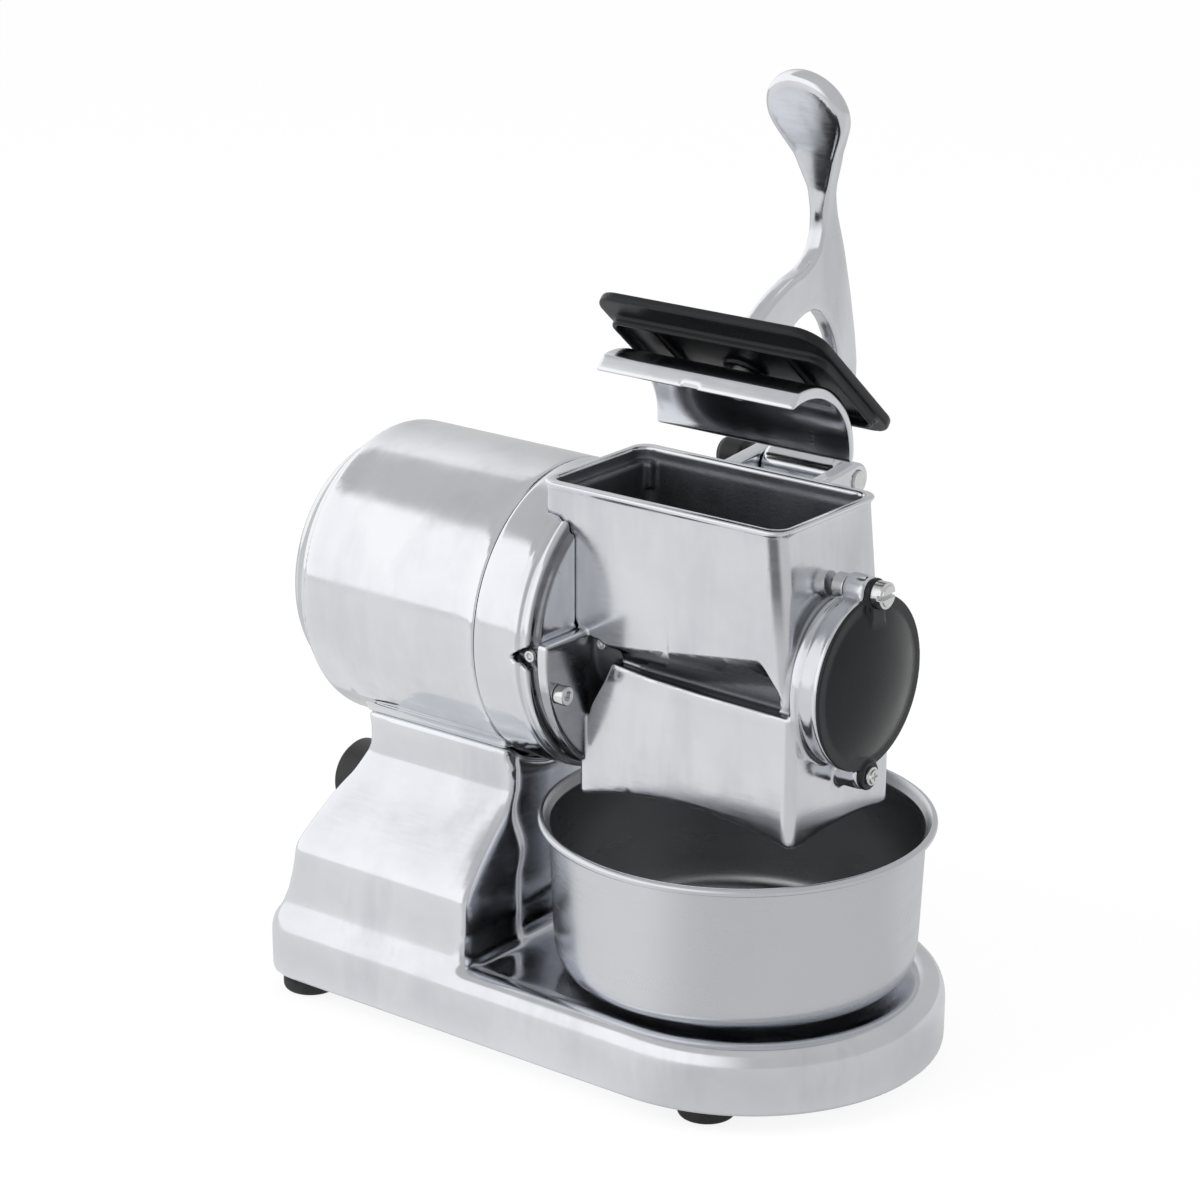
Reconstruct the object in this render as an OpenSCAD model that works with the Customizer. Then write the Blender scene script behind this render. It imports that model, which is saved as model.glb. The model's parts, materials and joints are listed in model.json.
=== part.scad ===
// Electric grater with a hand pressed pusher, for hard cheese and dry bread.
// Millimetres. X runs along the motor and drum axis towards the end cap, Y to the hinge side, Z up.
// The origin lies on the table, below the middle of the whole outline with the lever open.

/* [Base] */
// Length of the base plate
base_len = 353; // [340:1:370]
// Width of the base plate
base_w = 205; // [196:1:214]
// Top of the base above the table
base_top = 46; // [42:1:50]
// Gap between the table and the base's lower edge
foot_h = 9.3; // [7:0.1:12]
// Wall of the castings
wall = 4.5; // [3.5:0.1:6]
// Rounding of the base's top edge
base_round = 9; // [5:1:12]
// Depth of the sunken panel around the bowl's seat
dish_d = 2.5; // [1.5:0.5:4]
// Width of the raised rim around the sunken panel
rim_w = 14; // [12:0.5:17]

/* [Pedestal] */
// Half width of the neck under the motor
neck_half_w = 52.5; // [45:0.5:60]
// Half width of the skirt at the base
skirt_half_w = 92; // [85:1:96]
// How far the neck starts in front of the housing's rear end
neck_setback = 20; // [15:1:26]
// Front face of the pedestal
neck_front_x = -42; // [-46:1:-40]
// Drop of the joint between pedestal and motor saddle below the axis
saddle_drop = 64; // [61:1:67]

/* [Motor] */
// Height of the motor and drum axis above the table
axis_h = 216; // [210:1:222]
// Radius of the motor housing
motor_r = 79; // [76:0.5:82]
// Length of the housing to its front seam
housing_len = 115.7; // [105:0.1:120]
// Length of the motor's front end with its steps
bell_len = 37.3; // [36:0.1:40]
// How far the rear cover stands out behind the housing
rear_cover_len = 20; // [14:1:26]
// Radius of the rotor core
rotor_r = 41; // [36:0.5:44]
// Air gap between the rotor and the stator
air_gap = 0.6; // [0.4:0.1:1.2]
// Radius of the motor shaft in its front bearing
shaft_r = 8.5; // [7:0.5:10]

/* [Hopper] */
// Length of the mouth
mouth_len = 140; // [130:1:146]
// Width of the mouth
mouth_w = 75; // [70:1:78]
// Height of the mouth's rim above the axis
mouth_z = 82; // [76:1:86]
// Middle of the mouth along X
mouth_x = 46.3; // [44:0.1:48]
// Half width of the hopper outside
hopper_half_w = 42; // [41:0.5:43]
// Radius of the ring at the drum chamber's front end
chamber_r = 44; // [43:0.5:46]
// Radius of the drum chamber's bore
chamber_in_r = 33.2; // [32.8:0.1:33.6]
// Drop of the chute below the axis
chute_drop = 80; // [74:1:82]

/* [Drum] */
// Radius of the grating drum's skin
drum_r = 31; // [28:0.5:31.5]
// Length of the grating drum
drum_len = 122; // [110:1:124]
// Skin thickness of the grating drum
drum_skin = 1.5; // [1:0.1:2]
// Rows of teeth along the drum
tooth_rows = 9; // [6:1:11]
// Teeth in one row around the drum
teeth_around = 14; // [10:1:18]
// Radius of each tooth's hole
tooth_hole_r = 2.3; // [1.5:0.1:2.6]
// Height of the raised burr around a hole
tooth_h = 1.3; // [0.8:0.1:1.6]

/* [Pusher and lever] */
// Opening angle of the lever at rest
open_angle = 41.4; // [30:0.2:50]
// Distance of the hinge behind the axis plane
hinge_y = 85.4; // [80:0.2:90]
// Height of the hinge above the motor axis
hinge_dz = 70.5; // [66:0.5:74]
// Thickness of the lever's web
lever_t = 10; // [8:0.5:13]
// Width of the grip
grip_w = 47; // [42:1:50]
// Length of the lid plate along X
plate_len = 136.5; // [130:0.5:140]
// Depth of the lid plate
plate_w = 98; // [90:1:104]
// Length of the curved press foot
foot_len = 120; // [110:1:126]
// Outer radius of the press foot's curve
foot_r = 41; // [40:0.5:42]

/* [Bowl] */
// How far the bowl's rim stays inside the base's edge
bowl_rim_in = 0.9; // [0.5:0.1:6]
// Height of the bowl
bowl_h = 83; // [78:0.5:84]
// Sheet thickness of the bowl
bowl_t = 1; // [0.8:0.1:1.5]
// Middle of the bowl along X
bowl_x = 67.1; // [64:0.1:70]

/* [Hidden] */

$fn = 64;
run_gap = 0.05;
middle_x = -3.52;
middle_y = 10.63;
base_half = base_w / 2;
base_arc_x = bowl_x + 6.9;
base_back = base_arc_x + base_half - base_len;
bowl_rim_r = base_half - bowl_rim_in;
base_corner = 24;
saddle_z = axis_h - saddle_drop;
bell_front = -4;
motor_back = bell_front - bell_len - housing_len;
seam_x = motor_back + housing_len;
neck_rear_x = motor_back + neck_setback;
flange_front = 3;
chamber_front = 144;
tube_r = chamber_in_r + 3.3;
hopper_back = mouth_x - mouth_len / 2 + 1.5;
front_lean = 5.6;
rear_curve_r = 45;
rear_curve_x = hopper_back + rear_curve_r;
rear_curve_z = 46;
chute_back = -2.4;
chute_front = 130;
chute_half_w = 44;
drum_x0 = 16;
hinge_z = axis_h + hinge_dz;
ear_gap = 45.6;
ear_t = 9.5;
hinge_pin_r = 5;
knuckle_r = 11;
plate_dz = mouth_z + 0.4;
plate_t = 5;
bolt_pcr = 68;
bolt_angles = [-16.4, -163.6];
foot_rear = [base_back + 24.5, base_half - 18.5];
foot_front = [base_arc_x + 30, base_half - 28.5];
foot_at = [[foot_rear[0], -foot_rear[1]], [foot_rear[0], foot_rear[1]],
  [foot_front[0], -foot_front[1]], [foot_front[0], foot_front[1]]];
foot_r_pad = 15;
cap_ears = [[2, 46], [0, -48]];
lug_x = 131;
neck_screw_x = 9;
waist_rise = 7.9;
waist_slope = 21;
nut_x = 124;
cover_screw_pcr = 57;
saddle_bolt_x = [motor_back + 30.5, seam_x - 10.2];
saddle_bolt_at = [for (x = saddle_bolt_x) for (y = [-20, 20]) [x, y]];
bolt_pad_z = axis_h - motor_r - wall - 1;
switch_at = [neck_rear_x - 20, -36, base_top + 0.66 * (axis_h - motor_r - base_top)];
bearing_x = -34;
coupling_bore = 15.5;
lip_t = 2.7;
collar_h = 8;
tooth_pitch = (drum_len - 14) / (tooth_rows - 1);
dish_z = base_top - dish_d;
bowl_floor_r = bowl_rim_r - 21.6;
foot_top = plate_dz - 4.9;
foot_pad = foot_top - 7;

cast_grey = [0.78, 0.79, 0.8];
steel_grey = [0.68, 0.69, 0.7];
black = [0.06, 0.06, 0.065];

// Every piece is drawn about the machine's axis plane and the base's middle, then placed on the origin.
module placed() {
  translate([-middle_x, -middle_y, 0]) children();
}

// Turns a child whose Z axis is the machine's axis so that it lies along X at the drum's height.
module on_axis(x) {
  translate([x, 0, axis_h])
    rotate([0, 90, 0]) children();
}

// A cylinder about the machine's axis from x0 to x1.
module axle(x0, x1, r) {
  on_axis(x0)
    cylinder(r = r, h = x1 - x0, $fn = 96);
}

// A tube about the machine's axis from x0 to x1.
module sleeve(x0, x1, r, bore) {
  difference() {
    axle(x0, x1, r);
    axle(x0 - 1, x1 + 1, bore);
  }
}

// Places a child, drawn with the axis as its Z, at a polar place around the axis. Angle 0 is +Y.
module around(x, r, a) {
  translate([x, r * cos(a), axis_h + r * sin(a)])
    rotate([0, 90, 0]) children();
}

// A rectangle with round corners, centred on Y.
module round_rect(x0, x1, half_w, r) {
  union() {
    translate([x0 + r, -half_w]) square([x1 - x0 - 2 * r, 2 * half_w]);
    translate([x0, -half_w + r]) square([x1 - x0, 2 * half_w - 2 * r]);
    for (x = [x0 + r, x1 - r])
      for (y = [-half_w + r, half_w - r])
        translate([x, y]) circle(r = r);
  }
}

// The base's plan: a rear with round corners and a round front end under the bowl.
module base_plan(inset) {
  union() {
    translate([base_arc_x, 0]) circle(r = base_half - inset, $fn = 128);
    translate([base_back + base_corner, -base_half + inset])
      square([base_arc_x - base_back - base_corner, base_w - 2 * inset]);
    translate([base_back + inset, -base_half + base_corner])
      square([60, base_w - 2 * base_corner]);
    for (y = [-base_half + base_corner, base_half - base_corner])
      translate([base_back + base_corner, y]) circle(r = base_corner - inset);
  }
}

// Half of the base's section with its round top edge, for a plan radius.
module edge_section(r) {
  union() {
    square([r, base_top - foot_h - base_round]);
    square([r - base_round, base_top - foot_h]);
    translate([r - base_round, base_top - foot_h - base_round]) circle(r = base_round);
  }
}

module base_block() {
  translate([0, 0, foot_h]) {
    translate([base_arc_x, 0, 0])
      rotate_extrude($fn = 128) intersection() {
        edge_section(base_half);
        square([200, 200]);
      }
    translate([base_back + base_corner, 0, 0])
      rotate([90, 0, 90]) linear_extrude(base_arc_x - base_back - base_corner) union() {
        edge_section(base_half);
        mirror([1, 0]) edge_section(base_half);
      }
    for (s = [-1, 1])
      translate([base_back + base_corner, s * (base_half - base_corner), 0])
        rotate_extrude() intersection() {
          edge_section(base_corner);
          square([200, 200]);
        }
    translate([base_back + base_corner, base_half - base_corner, 0])
      rotate([90, 0, 0]) linear_extrude(base_w - 2 * base_corner) mirror([1, 0]) edge_section(base_corner);
  }
}

// The sunken panel in front of the pedestal. Its edge slopes up to the raised rim, and
// the bowl stands on a round pad in it that is as high as the rim.
module dish() {
  r = base_half - rim_w;
  difference() {
    dish_space(r);
    translate([bowl_x, 0, dish_z - 1]) cylinder(r = bowl_floor_r - 6, h = dish_d + 4, $fn = 128);
  }
}

module dish_space(r) {
  translate([0, 0, dish_z]) {
    translate([base_arc_x, 0, 0]) cylinder(r1 = r - 4, r2 = r + 1, h = dish_d * 1.25, $fn = 128);
    translate([neck_front_x + 2, 0, 0])
      rotate([90, 0, 90]) linear_extrude(base_arc_x - neck_front_x - 2)
        polygon([[4 - r, 0], [r - 4, 0], [r + 1, dish_d * 1.25], [-r - 1, dish_d * 1.25]]);
  }
}

// Side outline of the pedestal: a straight neck, then an ogee out to the skirt.
function ogee(t) = (1 - cos(180 * t)) / 2;
skirt_z = base_top + 37;
neck_z = saddle_z - 24;
side_line = [for (i = [0 : 10])
  [neck_half_w + (skirt_half_w - neck_half_w) * ogee(i / 10), neck_z - (neck_z - skirt_z) * i / 10]];

module pedestal_section(inset, low) {
  right = [for (p = side_line) [p[0] - inset, p[1]]];
  left = [for (i = [len(side_line) - 1 : -1 : 0]) [inset - side_line[i][0], side_line[i][1]]];
  polygon(concat(
    [[inset - neck_half_w, saddle_z - inset], [neck_half_w - inset, saddle_z - inset]],
    right,
    [[skirt_half_w + 1 - inset, base_top + 14], [skirt_half_w + 5 - inset, low]],
    [[-skirt_half_w - 5 + inset, low], [-skirt_half_w - 1 + inset, base_top + 14]],
    left));
}

// Rear outline of the pedestal in the XZ plane, flaring back to the base.
rear_flare = [[0, saddle_z], [0, saddle_z - 18], [-5.5, saddle_z - 28], [-14, saddle_z - 47],
  [-20, base_top + 40], [-21, base_top + 28], [-24, base_top + 14], [-29, base_top]];

module pedestal_profile(inset, low) {
  rear = [for (p = rear_flare) [neck_rear_x + inset + p[0], min(p[1], saddle_z - inset)]];
  polygon(concat(rear, [[neck_rear_x - 29 + inset, low], [neck_front_x - inset, low]],
    [[neck_front_x - inset, saddle_z - inset]]));
}

// The sides are inset further than the ends, so that the wall stays full where the ogee slopes.
module pedestal_block(inset, low) {
  intersection() {
    translate([-200, 0, 0])
      rotate([90, 0, 90]) linear_extrude(300) pedestal_section(1.7 * inset, low);
    translate([0, 150, 0])
      rotate([90, 0, 0]) linear_extrude(300) pedestal_profile(inset, low);
  }
}

module base_casting() {
  color(cast_grey) placed()
  difference() {
    union() {
      base_block();
      pedestal_block(0, base_top - 6);
      // Raised beads along both sides of the pedestal's front face
      intersection() {
        translate([neck_front_x - 1, 0, 0])
          rotate([90, 0, 90]) linear_extrude(5.5) difference() {
            pedestal_section(0, base_top - 4);
            pedestal_section(7, base_top - 8);
          }
        translate([neck_front_x - 2, -120, base_top - 3]) cube([8, 240, saddle_z - base_top - 4]);
      }
    }
    // The hollow of the base, open below
    difference() {
      translate([0, 0, foot_h - 1])
        linear_extrude(dish_z - foot_h - wall + 1) base_plan(wall);
      for (p = foot_at)
        translate([p[0], p[1], foot_h]) cylinder(r = 12, h = base_top);
      for (y = [-45, 45])
        translate([-100, y - 2, foot_h + 9]) cube([240, 4, base_top]);
    }
    // The hollow of the pedestal, closed above by the cradle's wall and its bolt pads
    difference() {
      pedestal_block(wall, foot_h - 1);
      axle(-200, 40, motor_r + 0.3 + wall);
      for (p = saddle_bolt_at)
        translate([p[0], p[1], bolt_pad_z]) cylinder(r = 7.5, h = 20);
    }
    // Cradle for the motor
    axle(-200, 40, motor_r + 0.3);
    dish();
    // Seat of the bottom plate and its screws
    translate([0, 0, foot_h - 1]) linear_extrude(3) base_plan(2.2);
    for (p = foot_at)
      translate([p[0], p[1], foot_h - 1]) cylinder(r = 2.1, h = 22);
    // Bolt holes up into the motor saddle and the cable's way
    for (p = saddle_bolt_at)
      translate([p[0], p[1], bolt_pad_z - 1]) cylinder(r = 2.8, h = 20);
    translate([-89, 0, bolt_pad_z - 6]) cylinder(r = 9, h = 20);
    // Round opening for the switch
    translate([switch_at[0] - 33, switch_at[1], switch_at[2]]) rotate([0, 90, 0]) cylinder(r = 20.2, h = 70);
    // Opening for the cable gland
    translate([base_back - 1, 40, 30]) rotate([0, 90, 0]) cylinder(r = 8.2, h = 12);
  }
}

module bottom_plate() {
  color(steel_grey) placed()
  difference() {
    translate([0, 0, foot_h + 0.5]) linear_extrude(1.5) base_plan(2.5);
    for (p = foot_at)
      translate([p[0], p[1], foot_h]) cylinder(r = 2.6, h = 4);
    // Air slots below the pedestal
    for (i = [-3 : 3])
      translate([-100 + 11 * i, -28, foot_h]) cube([4, 56, 4]);
    for (y = [-45, 45])
      translate([40, y, foot_h]) cylinder(r = 1.8, h = 4);
  }
}

module bottom_plate_screws() {
  color(steel_grey) placed()
  for (y = [-45, 45])
    translate([40, y, foot_h - 1.2]) {
      cylinder(r = 3.5, h = 1.65);
      cylinder(r = 1.5, h = 9);
    }
}

module rubber_feet() {
  color(black) placed()
  for (p = foot_at)
    translate([p[0], p[1], 0])
      rotate_extrude() difference() {
        union() {
          square([foot_r_pad - 3, 3]);
          translate([0, 3]) square([foot_r_pad, foot_h - 3.4]);
          intersection() {
            translate([foot_r_pad - 3, 3]) circle(r = 3);
            square([20, 20]);
          }
          translate([0, foot_h - 1]) square([8, 1.45]);
        }
        square([2.3, 20]);
        square([5.5, 4.5]);
      }
}

module foot_screws() {
  color(steel_grey) placed()
  for (p = foot_at)
    translate([p[0], p[1], 1.8]) {
      cylinder(r = 4.6, h = 2.7);
      cylinder(r = 2, h = foot_h + 10);
    }
}

// Block under the motor that flares from the housing to the pedestal's joint.
module saddle_block(x0, x1) {
  difference() {
    translate([x0, 0, 0])
      rotate([90, 0, 90]) linear_extrude(x1 - x0) difference() {
        polygon([[-neck_half_w, saddle_z], [neck_half_w, saddle_z], [neck_half_w + 1.5, saddle_z + 6],
          [60, saddle_z + 11], [66, saddle_z + 20], [66, saddle_z + 38],
          [-66, saddle_z + 38], [-66, saddle_z + 20], [-60, saddle_z + 11],
          [-neck_half_w - 1.5, saddle_z + 6]]);
        for (s = [-1, 1])
          translate([s * 68, saddle_z + 5]) circle(r = 9);
      }
    axle(x0 - 1, x1 + 1, motor_r - wall);
  }
}

module motor_housing() {
  color(cast_grey) placed()
  difference() {
    union() {
      sleeve(motor_back, seam_x, motor_r, motor_r - wall);
      axle(motor_back + 6, motor_back + 12, motor_r - 1);
      axle(motor_back + 4, motor_back + 18, 24);
      saddle_block(neck_rear_x, neck_front_x);
      for (a = [0 : 60 : 300])
        on_axis(motor_back + 11) rotate([0, 0, a]) translate([20, -1.5, 0]) cube([55, 3, 6]);
      // Pads for the saddle bolts, inside the wall
      for (p = saddle_bolt_at)
        translate([p[0], p[1], bolt_pad_z + 10.5]) cylinder(r = 5.2, h = 11);
    }
    axle(motor_back + 7, motor_back + 20, 16);
    axle(motor_back - 1, motor_back + 30, 9);
    // Front spigot seat of the bell
    axle(seam_x - 4, seam_x + 1, motor_r - wall + 1.2);
    for (p = saddle_bolt_at)
      translate([p[0], p[1], bolt_pad_z - 1.5]) cylinder(r = 2.45, h = 22.5);
    for (a = [90, 210, 330])
      around(motor_back + 4, cover_screw_pcr, a) cylinder(r = 2.05, h = 9);
    translate([-89, 0, bolt_pad_z - 1.5]) cylinder(r = 8, h = 12.5);
  }
}

module saddle_bolts() {
  color(steel_grey) placed()
  for (p = saddle_bolt_at)
    translate([p[0], p[1], bolt_pad_z - 4.5]) difference() {
      union() {
        cylinder(r = 4.5, h = 4.5);
        cylinder(r = 2.4, h = 24);
      }
      translate([0, 0, -1]) cylinder(r = 2.3, h = 3.6, $fn = 6);
    }
}

// Domed cover over the fan. Its outline is a large arc from the housing to a flat rear disc.
module rear_cover_shape(inset) {
  r_flat = 67.3 - inset;
  on_axis(motor_back)
    mirror([0, 0, 1]) rotate_extrude($fn = 128) union() {
      square([r_flat - 8, rear_cover_len - inset]);
      square([r_flat, rear_cover_len - inset - 8]);
      translate([r_flat - 8, rear_cover_len - inset - 8]) intersection() {
        circle(r = 8);
        square([20, 20]);
      }
      square([motor_r - 4.5 - inset, 5]);
      polygon([[0, 0], [motor_r - 4.5 - inset, 5], [r_flat, rear_cover_len - inset - 7], [0, 12]]);
    }
}

module rear_cover() {
  color(cast_grey) placed()
  difference() {
    union() {
      rear_cover_shape(0);
      sleeve(motor_back - 0.5, motor_back + 4, motor_r - wall - 0.1, motor_r - wall - 4);
    }
    difference() {
      rear_cover_shape(3);
      for (a = [90, 210, 330])
        around(motor_back - 30, cover_screw_pcr, a) cylinder(r = 4.8, h = 30);
    }
    axle(motor_back - 1, motor_back + 5, motor_r - wall - 7.5);
    for (a = [90, 210, 330]) {
      around(motor_back - 30, cover_screw_pcr, a) cylinder(r = 2.2, h = 40);
      around(motor_back - 30, cover_screw_pcr, a) cylinder(r = 3.8, h = 30 - rear_cover_len + 2.6);
    }
    // Air slots in the rear disc
    for (i = [-4 : 4])
      translate([motor_back - 30, -sqrt(46 * 46 - 100 * i * i), axis_h + 10 * i - 2])
        cube([20, 2 * sqrt(46 * 46 - 100 * i * i), 4]);
  }
}

module rear_cover_screws() {
  color(steel_grey) placed()
  for (a = [90, 210, 330])
    around(motor_back - rear_cover_len + 0.4, cover_screw_pcr, a) difference() {
      union() {
        cylinder(r = 3.5, h = 2.2);
        cylinder(r = 2, h = rear_cover_len + 7.6);
      }
      translate([-0.6, -4, -1]) cube([1.2, 8, 1.8]);
    }
}

module ball_bearing(x0, x1, r, bore) {
  sleeve(x0, x1, r, r - 3);
  sleeve(x0, x1, bore + 2.5, bore);
  sleeve(x0 + 1.5, x1 - 1.5, r - 2.9, bore + 2.4);
}

module rear_bearing() {
  color(steel_grey) placed() ball_bearing(motor_back + 7, motor_back + 17, 16, 6);
}

module front_bearing() {
  color(steel_grey) placed() ball_bearing(bearing_x, bearing_x + 12, 20, shaft_r);
}

module stator_core() {
  color([0.45, 0.46, 0.48]) placed()
  difference() {
    axle(motor_back + 36.5, seam_x - 16, motor_r - wall - 0.05);
    axle(motor_back + 35, seam_x - 15, rotor_r + air_gap);
    for (a = [0 : 15 : 345])
      around(motor_back + 35, 52, a) cylinder(r = 3.6, h = 80);
  }
}

module stator_windings() {
  color([0.62, 0.33, 0.16]) placed() {
    for (x = [motor_back + 26.5, seam_x - 16])
      on_axis(x) rotate_extrude($fn = 96) translate([45.5, 0]) union() {
        translate([3, 0]) square([9, 10]);
        translate([0, 3]) square([15, 4]);
        translate([3, 3]) circle(r = 3);
        translate([12, 3]) circle(r = 3);
        translate([3, 7]) circle(r = 3);
        translate([12, 7]) circle(r = 3);
      }
  }
}

// Space that the hopper's rear wall takes up in the motor's front end, with a gap or a wall added.
module hopper_pocket(grow) {
  translate([0, hopper_half_w + grow, axis_h])
    rotate([90, 0, 0]) linear_extrude(2 * (hopper_half_w + grow)) intersection() {
      union() {
        hopper_profile(-grow, mouth_z + 10);
        translate([mouth_x - mouth_len / 2 - 3 - grow, mouth_z - collar_h - grow]) square([30, 30]);
      }
      translate([-60, 2]) square([80, 120]);
    }
}

// Outline of the front end, seen from the side: a short drum with two polished steps.
module bell_outline() {
  union() {
    square([motor_r, bell_len - 13.3]);
    square([motor_r - 4.5, bell_len - 5]);
    square([motor_r - 7, bell_len]);
    translate([motor_r - 3, bell_len - 11.5]) circle(r = 2.8);
    translate([motor_r - 4.6, bell_len - 6]) circle(r = 2.8);
    translate([motor_r - 9, bell_len - 2.4]) circle(r = 2.4);
  }
}

module front_bell() {
  color(cast_grey) placed()
  difference() {
    union() {
      on_axis(seam_x) rotate_extrude($fn = 128) difference() {
        bell_outline();
        square([motor_r - wall, bell_len - 16.3]);
      }
      // Closed walls around the pocket
      intersection() {
        on_axis(seam_x) rotate_extrude($fn = 128) bell_outline();
        hopper_pocket(4.4);
      }
      sleeve(seam_x - 4, seam_x + 2, motor_r - wall + 1.1, motor_r - wall - 2);
      axle(bearing_x - 2, -20, 24.5);
    }
    axle(bearing_x - 3, bearing_x + 12, 20);
    axle(bearing_x - 5, 0, 12);
    hopper_pocket(0.4);
    // Triangular pockets with a clamping screw on both sides
    for (s = [-1, 1])
      translate([0, s * 76.5 + 5.5, axis_h]) rotate([90, 0, 0])
        linear_extrude(11) polygon([[-17, 0.8], [-17, -0.8], [-6.4, -7], [-5, -6], [-5, 6], [-6.4, 7]]);
    for (s = [-1, 1])
      translate([-9.5, s * 66 + 8, axis_h]) rotate([90, 0, 0]) cylinder(r = 1.6, h = 16);
    for (a = bolt_angles)
      around(bell_front - 13, bolt_pcr, a) cylinder(r = 2.5, h = 20);
  }
}

module bell_screws() {
  color(steel_grey) placed()
  for (s = [-1, 1])
    translate([-9.5, s * 71, axis_h]) rotate([-90 * s, 0, 0]) difference() {
      union() {
        cylinder(r = 3.2, h = 2.4);
        translate([0, 0, -9]) cylinder(r = 1.55, h = 10);
      }
      translate([0, 0, 1]) cylinder(r = 1.6, h = 2, $fn = 6);
    }
}

// Rear wall line of the hopper: straight down, then a round belly forward to the neck.
module hopper_profile(inset, top) {
  r = rear_curve_r - inset;
  union() {
    translate([rear_curve_x, -60]) square([120, 60 + top]);
    translate([rear_curve_x - r, rear_curve_z]) square([r + 1, top - rear_curve_z]);
    translate([rear_curve_x, rear_curve_z]) circle(r = r, $fn = 96);
  }
}

// Inner cross section of the funnel, looking along X. It narrows down to the drum chamber.
module funnel_way_section(top) {
  polygon([[-chamber_in_r, 0], [chamber_in_r, 0], [chamber_in_r, 4], [mouth_w / 2 - 1, 30],
    [mouth_w / 2 - 1, top], [1 - mouth_w / 2, top], [1 - mouth_w / 2, 30], [-chamber_in_r, 4]]);
}

// The funnel's sides stop at a sloping edge; below it they fall back to the drum chamber's tube.
module waist_cuts() {
  intersection() {
    union() for (s = [-1, 1])
      translate([10, s * hopper_half_w, axis_h + 1.6])
        rotate([0, -waist_rise, 0]) rotate([-s * waist_slope, 0, 0])
          translate([-40, min(0, s * 30), -44]) cube([160, 30, 58]);
    translate([0, 90, axis_h]) rotate([90, 0, 0]) linear_extrude(180)
      polygon([[-40, 50], [-40, -60], [127, -60], [127, -9], [108, 15], [104, 50]]);
  }
}

// The funnel: a straight rear block and a front block that leans out towards the drum.
module hopper_shell_outer() {
  intersection() {
    union() {
      translate([0, 0, axis_h - 50])
        linear_extrude(50 + mouth_z) round_rect(hopper_back, mouth_x + 10, hopper_half_w, 8);
      translate([118.5, 0, axis_h + mouth_z]) rotate([0, -front_lean, 0])
        translate([0, 0, -150]) linear_extrude(160) round_rect(-78, 0, hopper_half_w, 8);
    }
    translate([-60, -60, axis_h - 10]) cube([220, 120, mouth_z + 9]);
    translate([0, 60, axis_h])
      rotate([90, 0, 0]) linear_extrude(120) hopper_profile(0, mouth_z + 2);
  }
}

module hinge_ear(x0) {
  translate([x0, 0, 0])
    rotate([90, 0, 90]) linear_extrude(ear_t) difference() {
      union() {
        translate([hinge_y, hinge_z]) circle(r = 9);
        polygon([[hopper_half_w - 1, hinge_z + 5], [hinge_y - 2, hinge_z + 8.77],
          [hinge_y - 2, hinge_z - 8.77], [hopper_half_w - 1, hinge_z - 34]]);
      }
      translate([hinge_y, hinge_z]) circle(r = hinge_pin_r);
    }
}

// All that the cheese passes through: mouth, funnel, drum chamber and chute.
module hopper_ways() {
  x_in0 = mouth_x - mouth_len / 2;
  x_in1 = mouth_x + mouth_len / 2;
  translate([0, 0, axis_h + mouth_z - 7])
    linear_extrude(10) round_rect(x_in0, x_in1, mouth_w / 2, 7);
  intersection() {
    linear_extrude(400) round_rect(hopper_back + wall, x_in1 - 2, mouth_w / 2 - 1, 6);
    translate([0, 60, axis_h])
      rotate([90, 0, 0]) linear_extrude(120) hopper_profile(wall, mouth_z);
    translate([-60, 0, axis_h])
      rotate([90, 0, 90]) linear_extrude(220) funnel_way_section(mouth_z);
  }
  axle(drum_x0 - 4, chamber_front + 1, chamber_in_r);
  intersection() {
    chute_block(4, -14);
    translate([0, 0, axis_h - chute_drop - 5])
      linear_extrude(chute_drop) round_rect(chute_back + 4, chute_front - 4, chute_half_w - 4, 3);
  }
}

// The chute: its rear edge leans forward towards the top and its top is a shelf below the tube.
module chute_block(inset, top) {
  translate([0, chute_half_w - inset, axis_h])
    rotate([90, 0, 0]) linear_extrude(2 * (chute_half_w - inset)) intersection() {
      polygon([[chute_back + inset, -chute_drop - 2 * inset], [chute_back + 1.9 + inset, -55],
        [6.5 + 1.2 * inset, -30], [15 + 1.2 * inset, -15], [19.5 + 1.2 * inset, -5], [43, -7.5],
        [74, -9], [chute_front - 4, -10], [chute_front - inset, -13],
        [chute_front - inset, -chute_drop - 2 * inset]]);
      translate([-20, -chute_drop - 10]) square([200, chute_drop + 10 + top]);
    }
}

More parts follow.
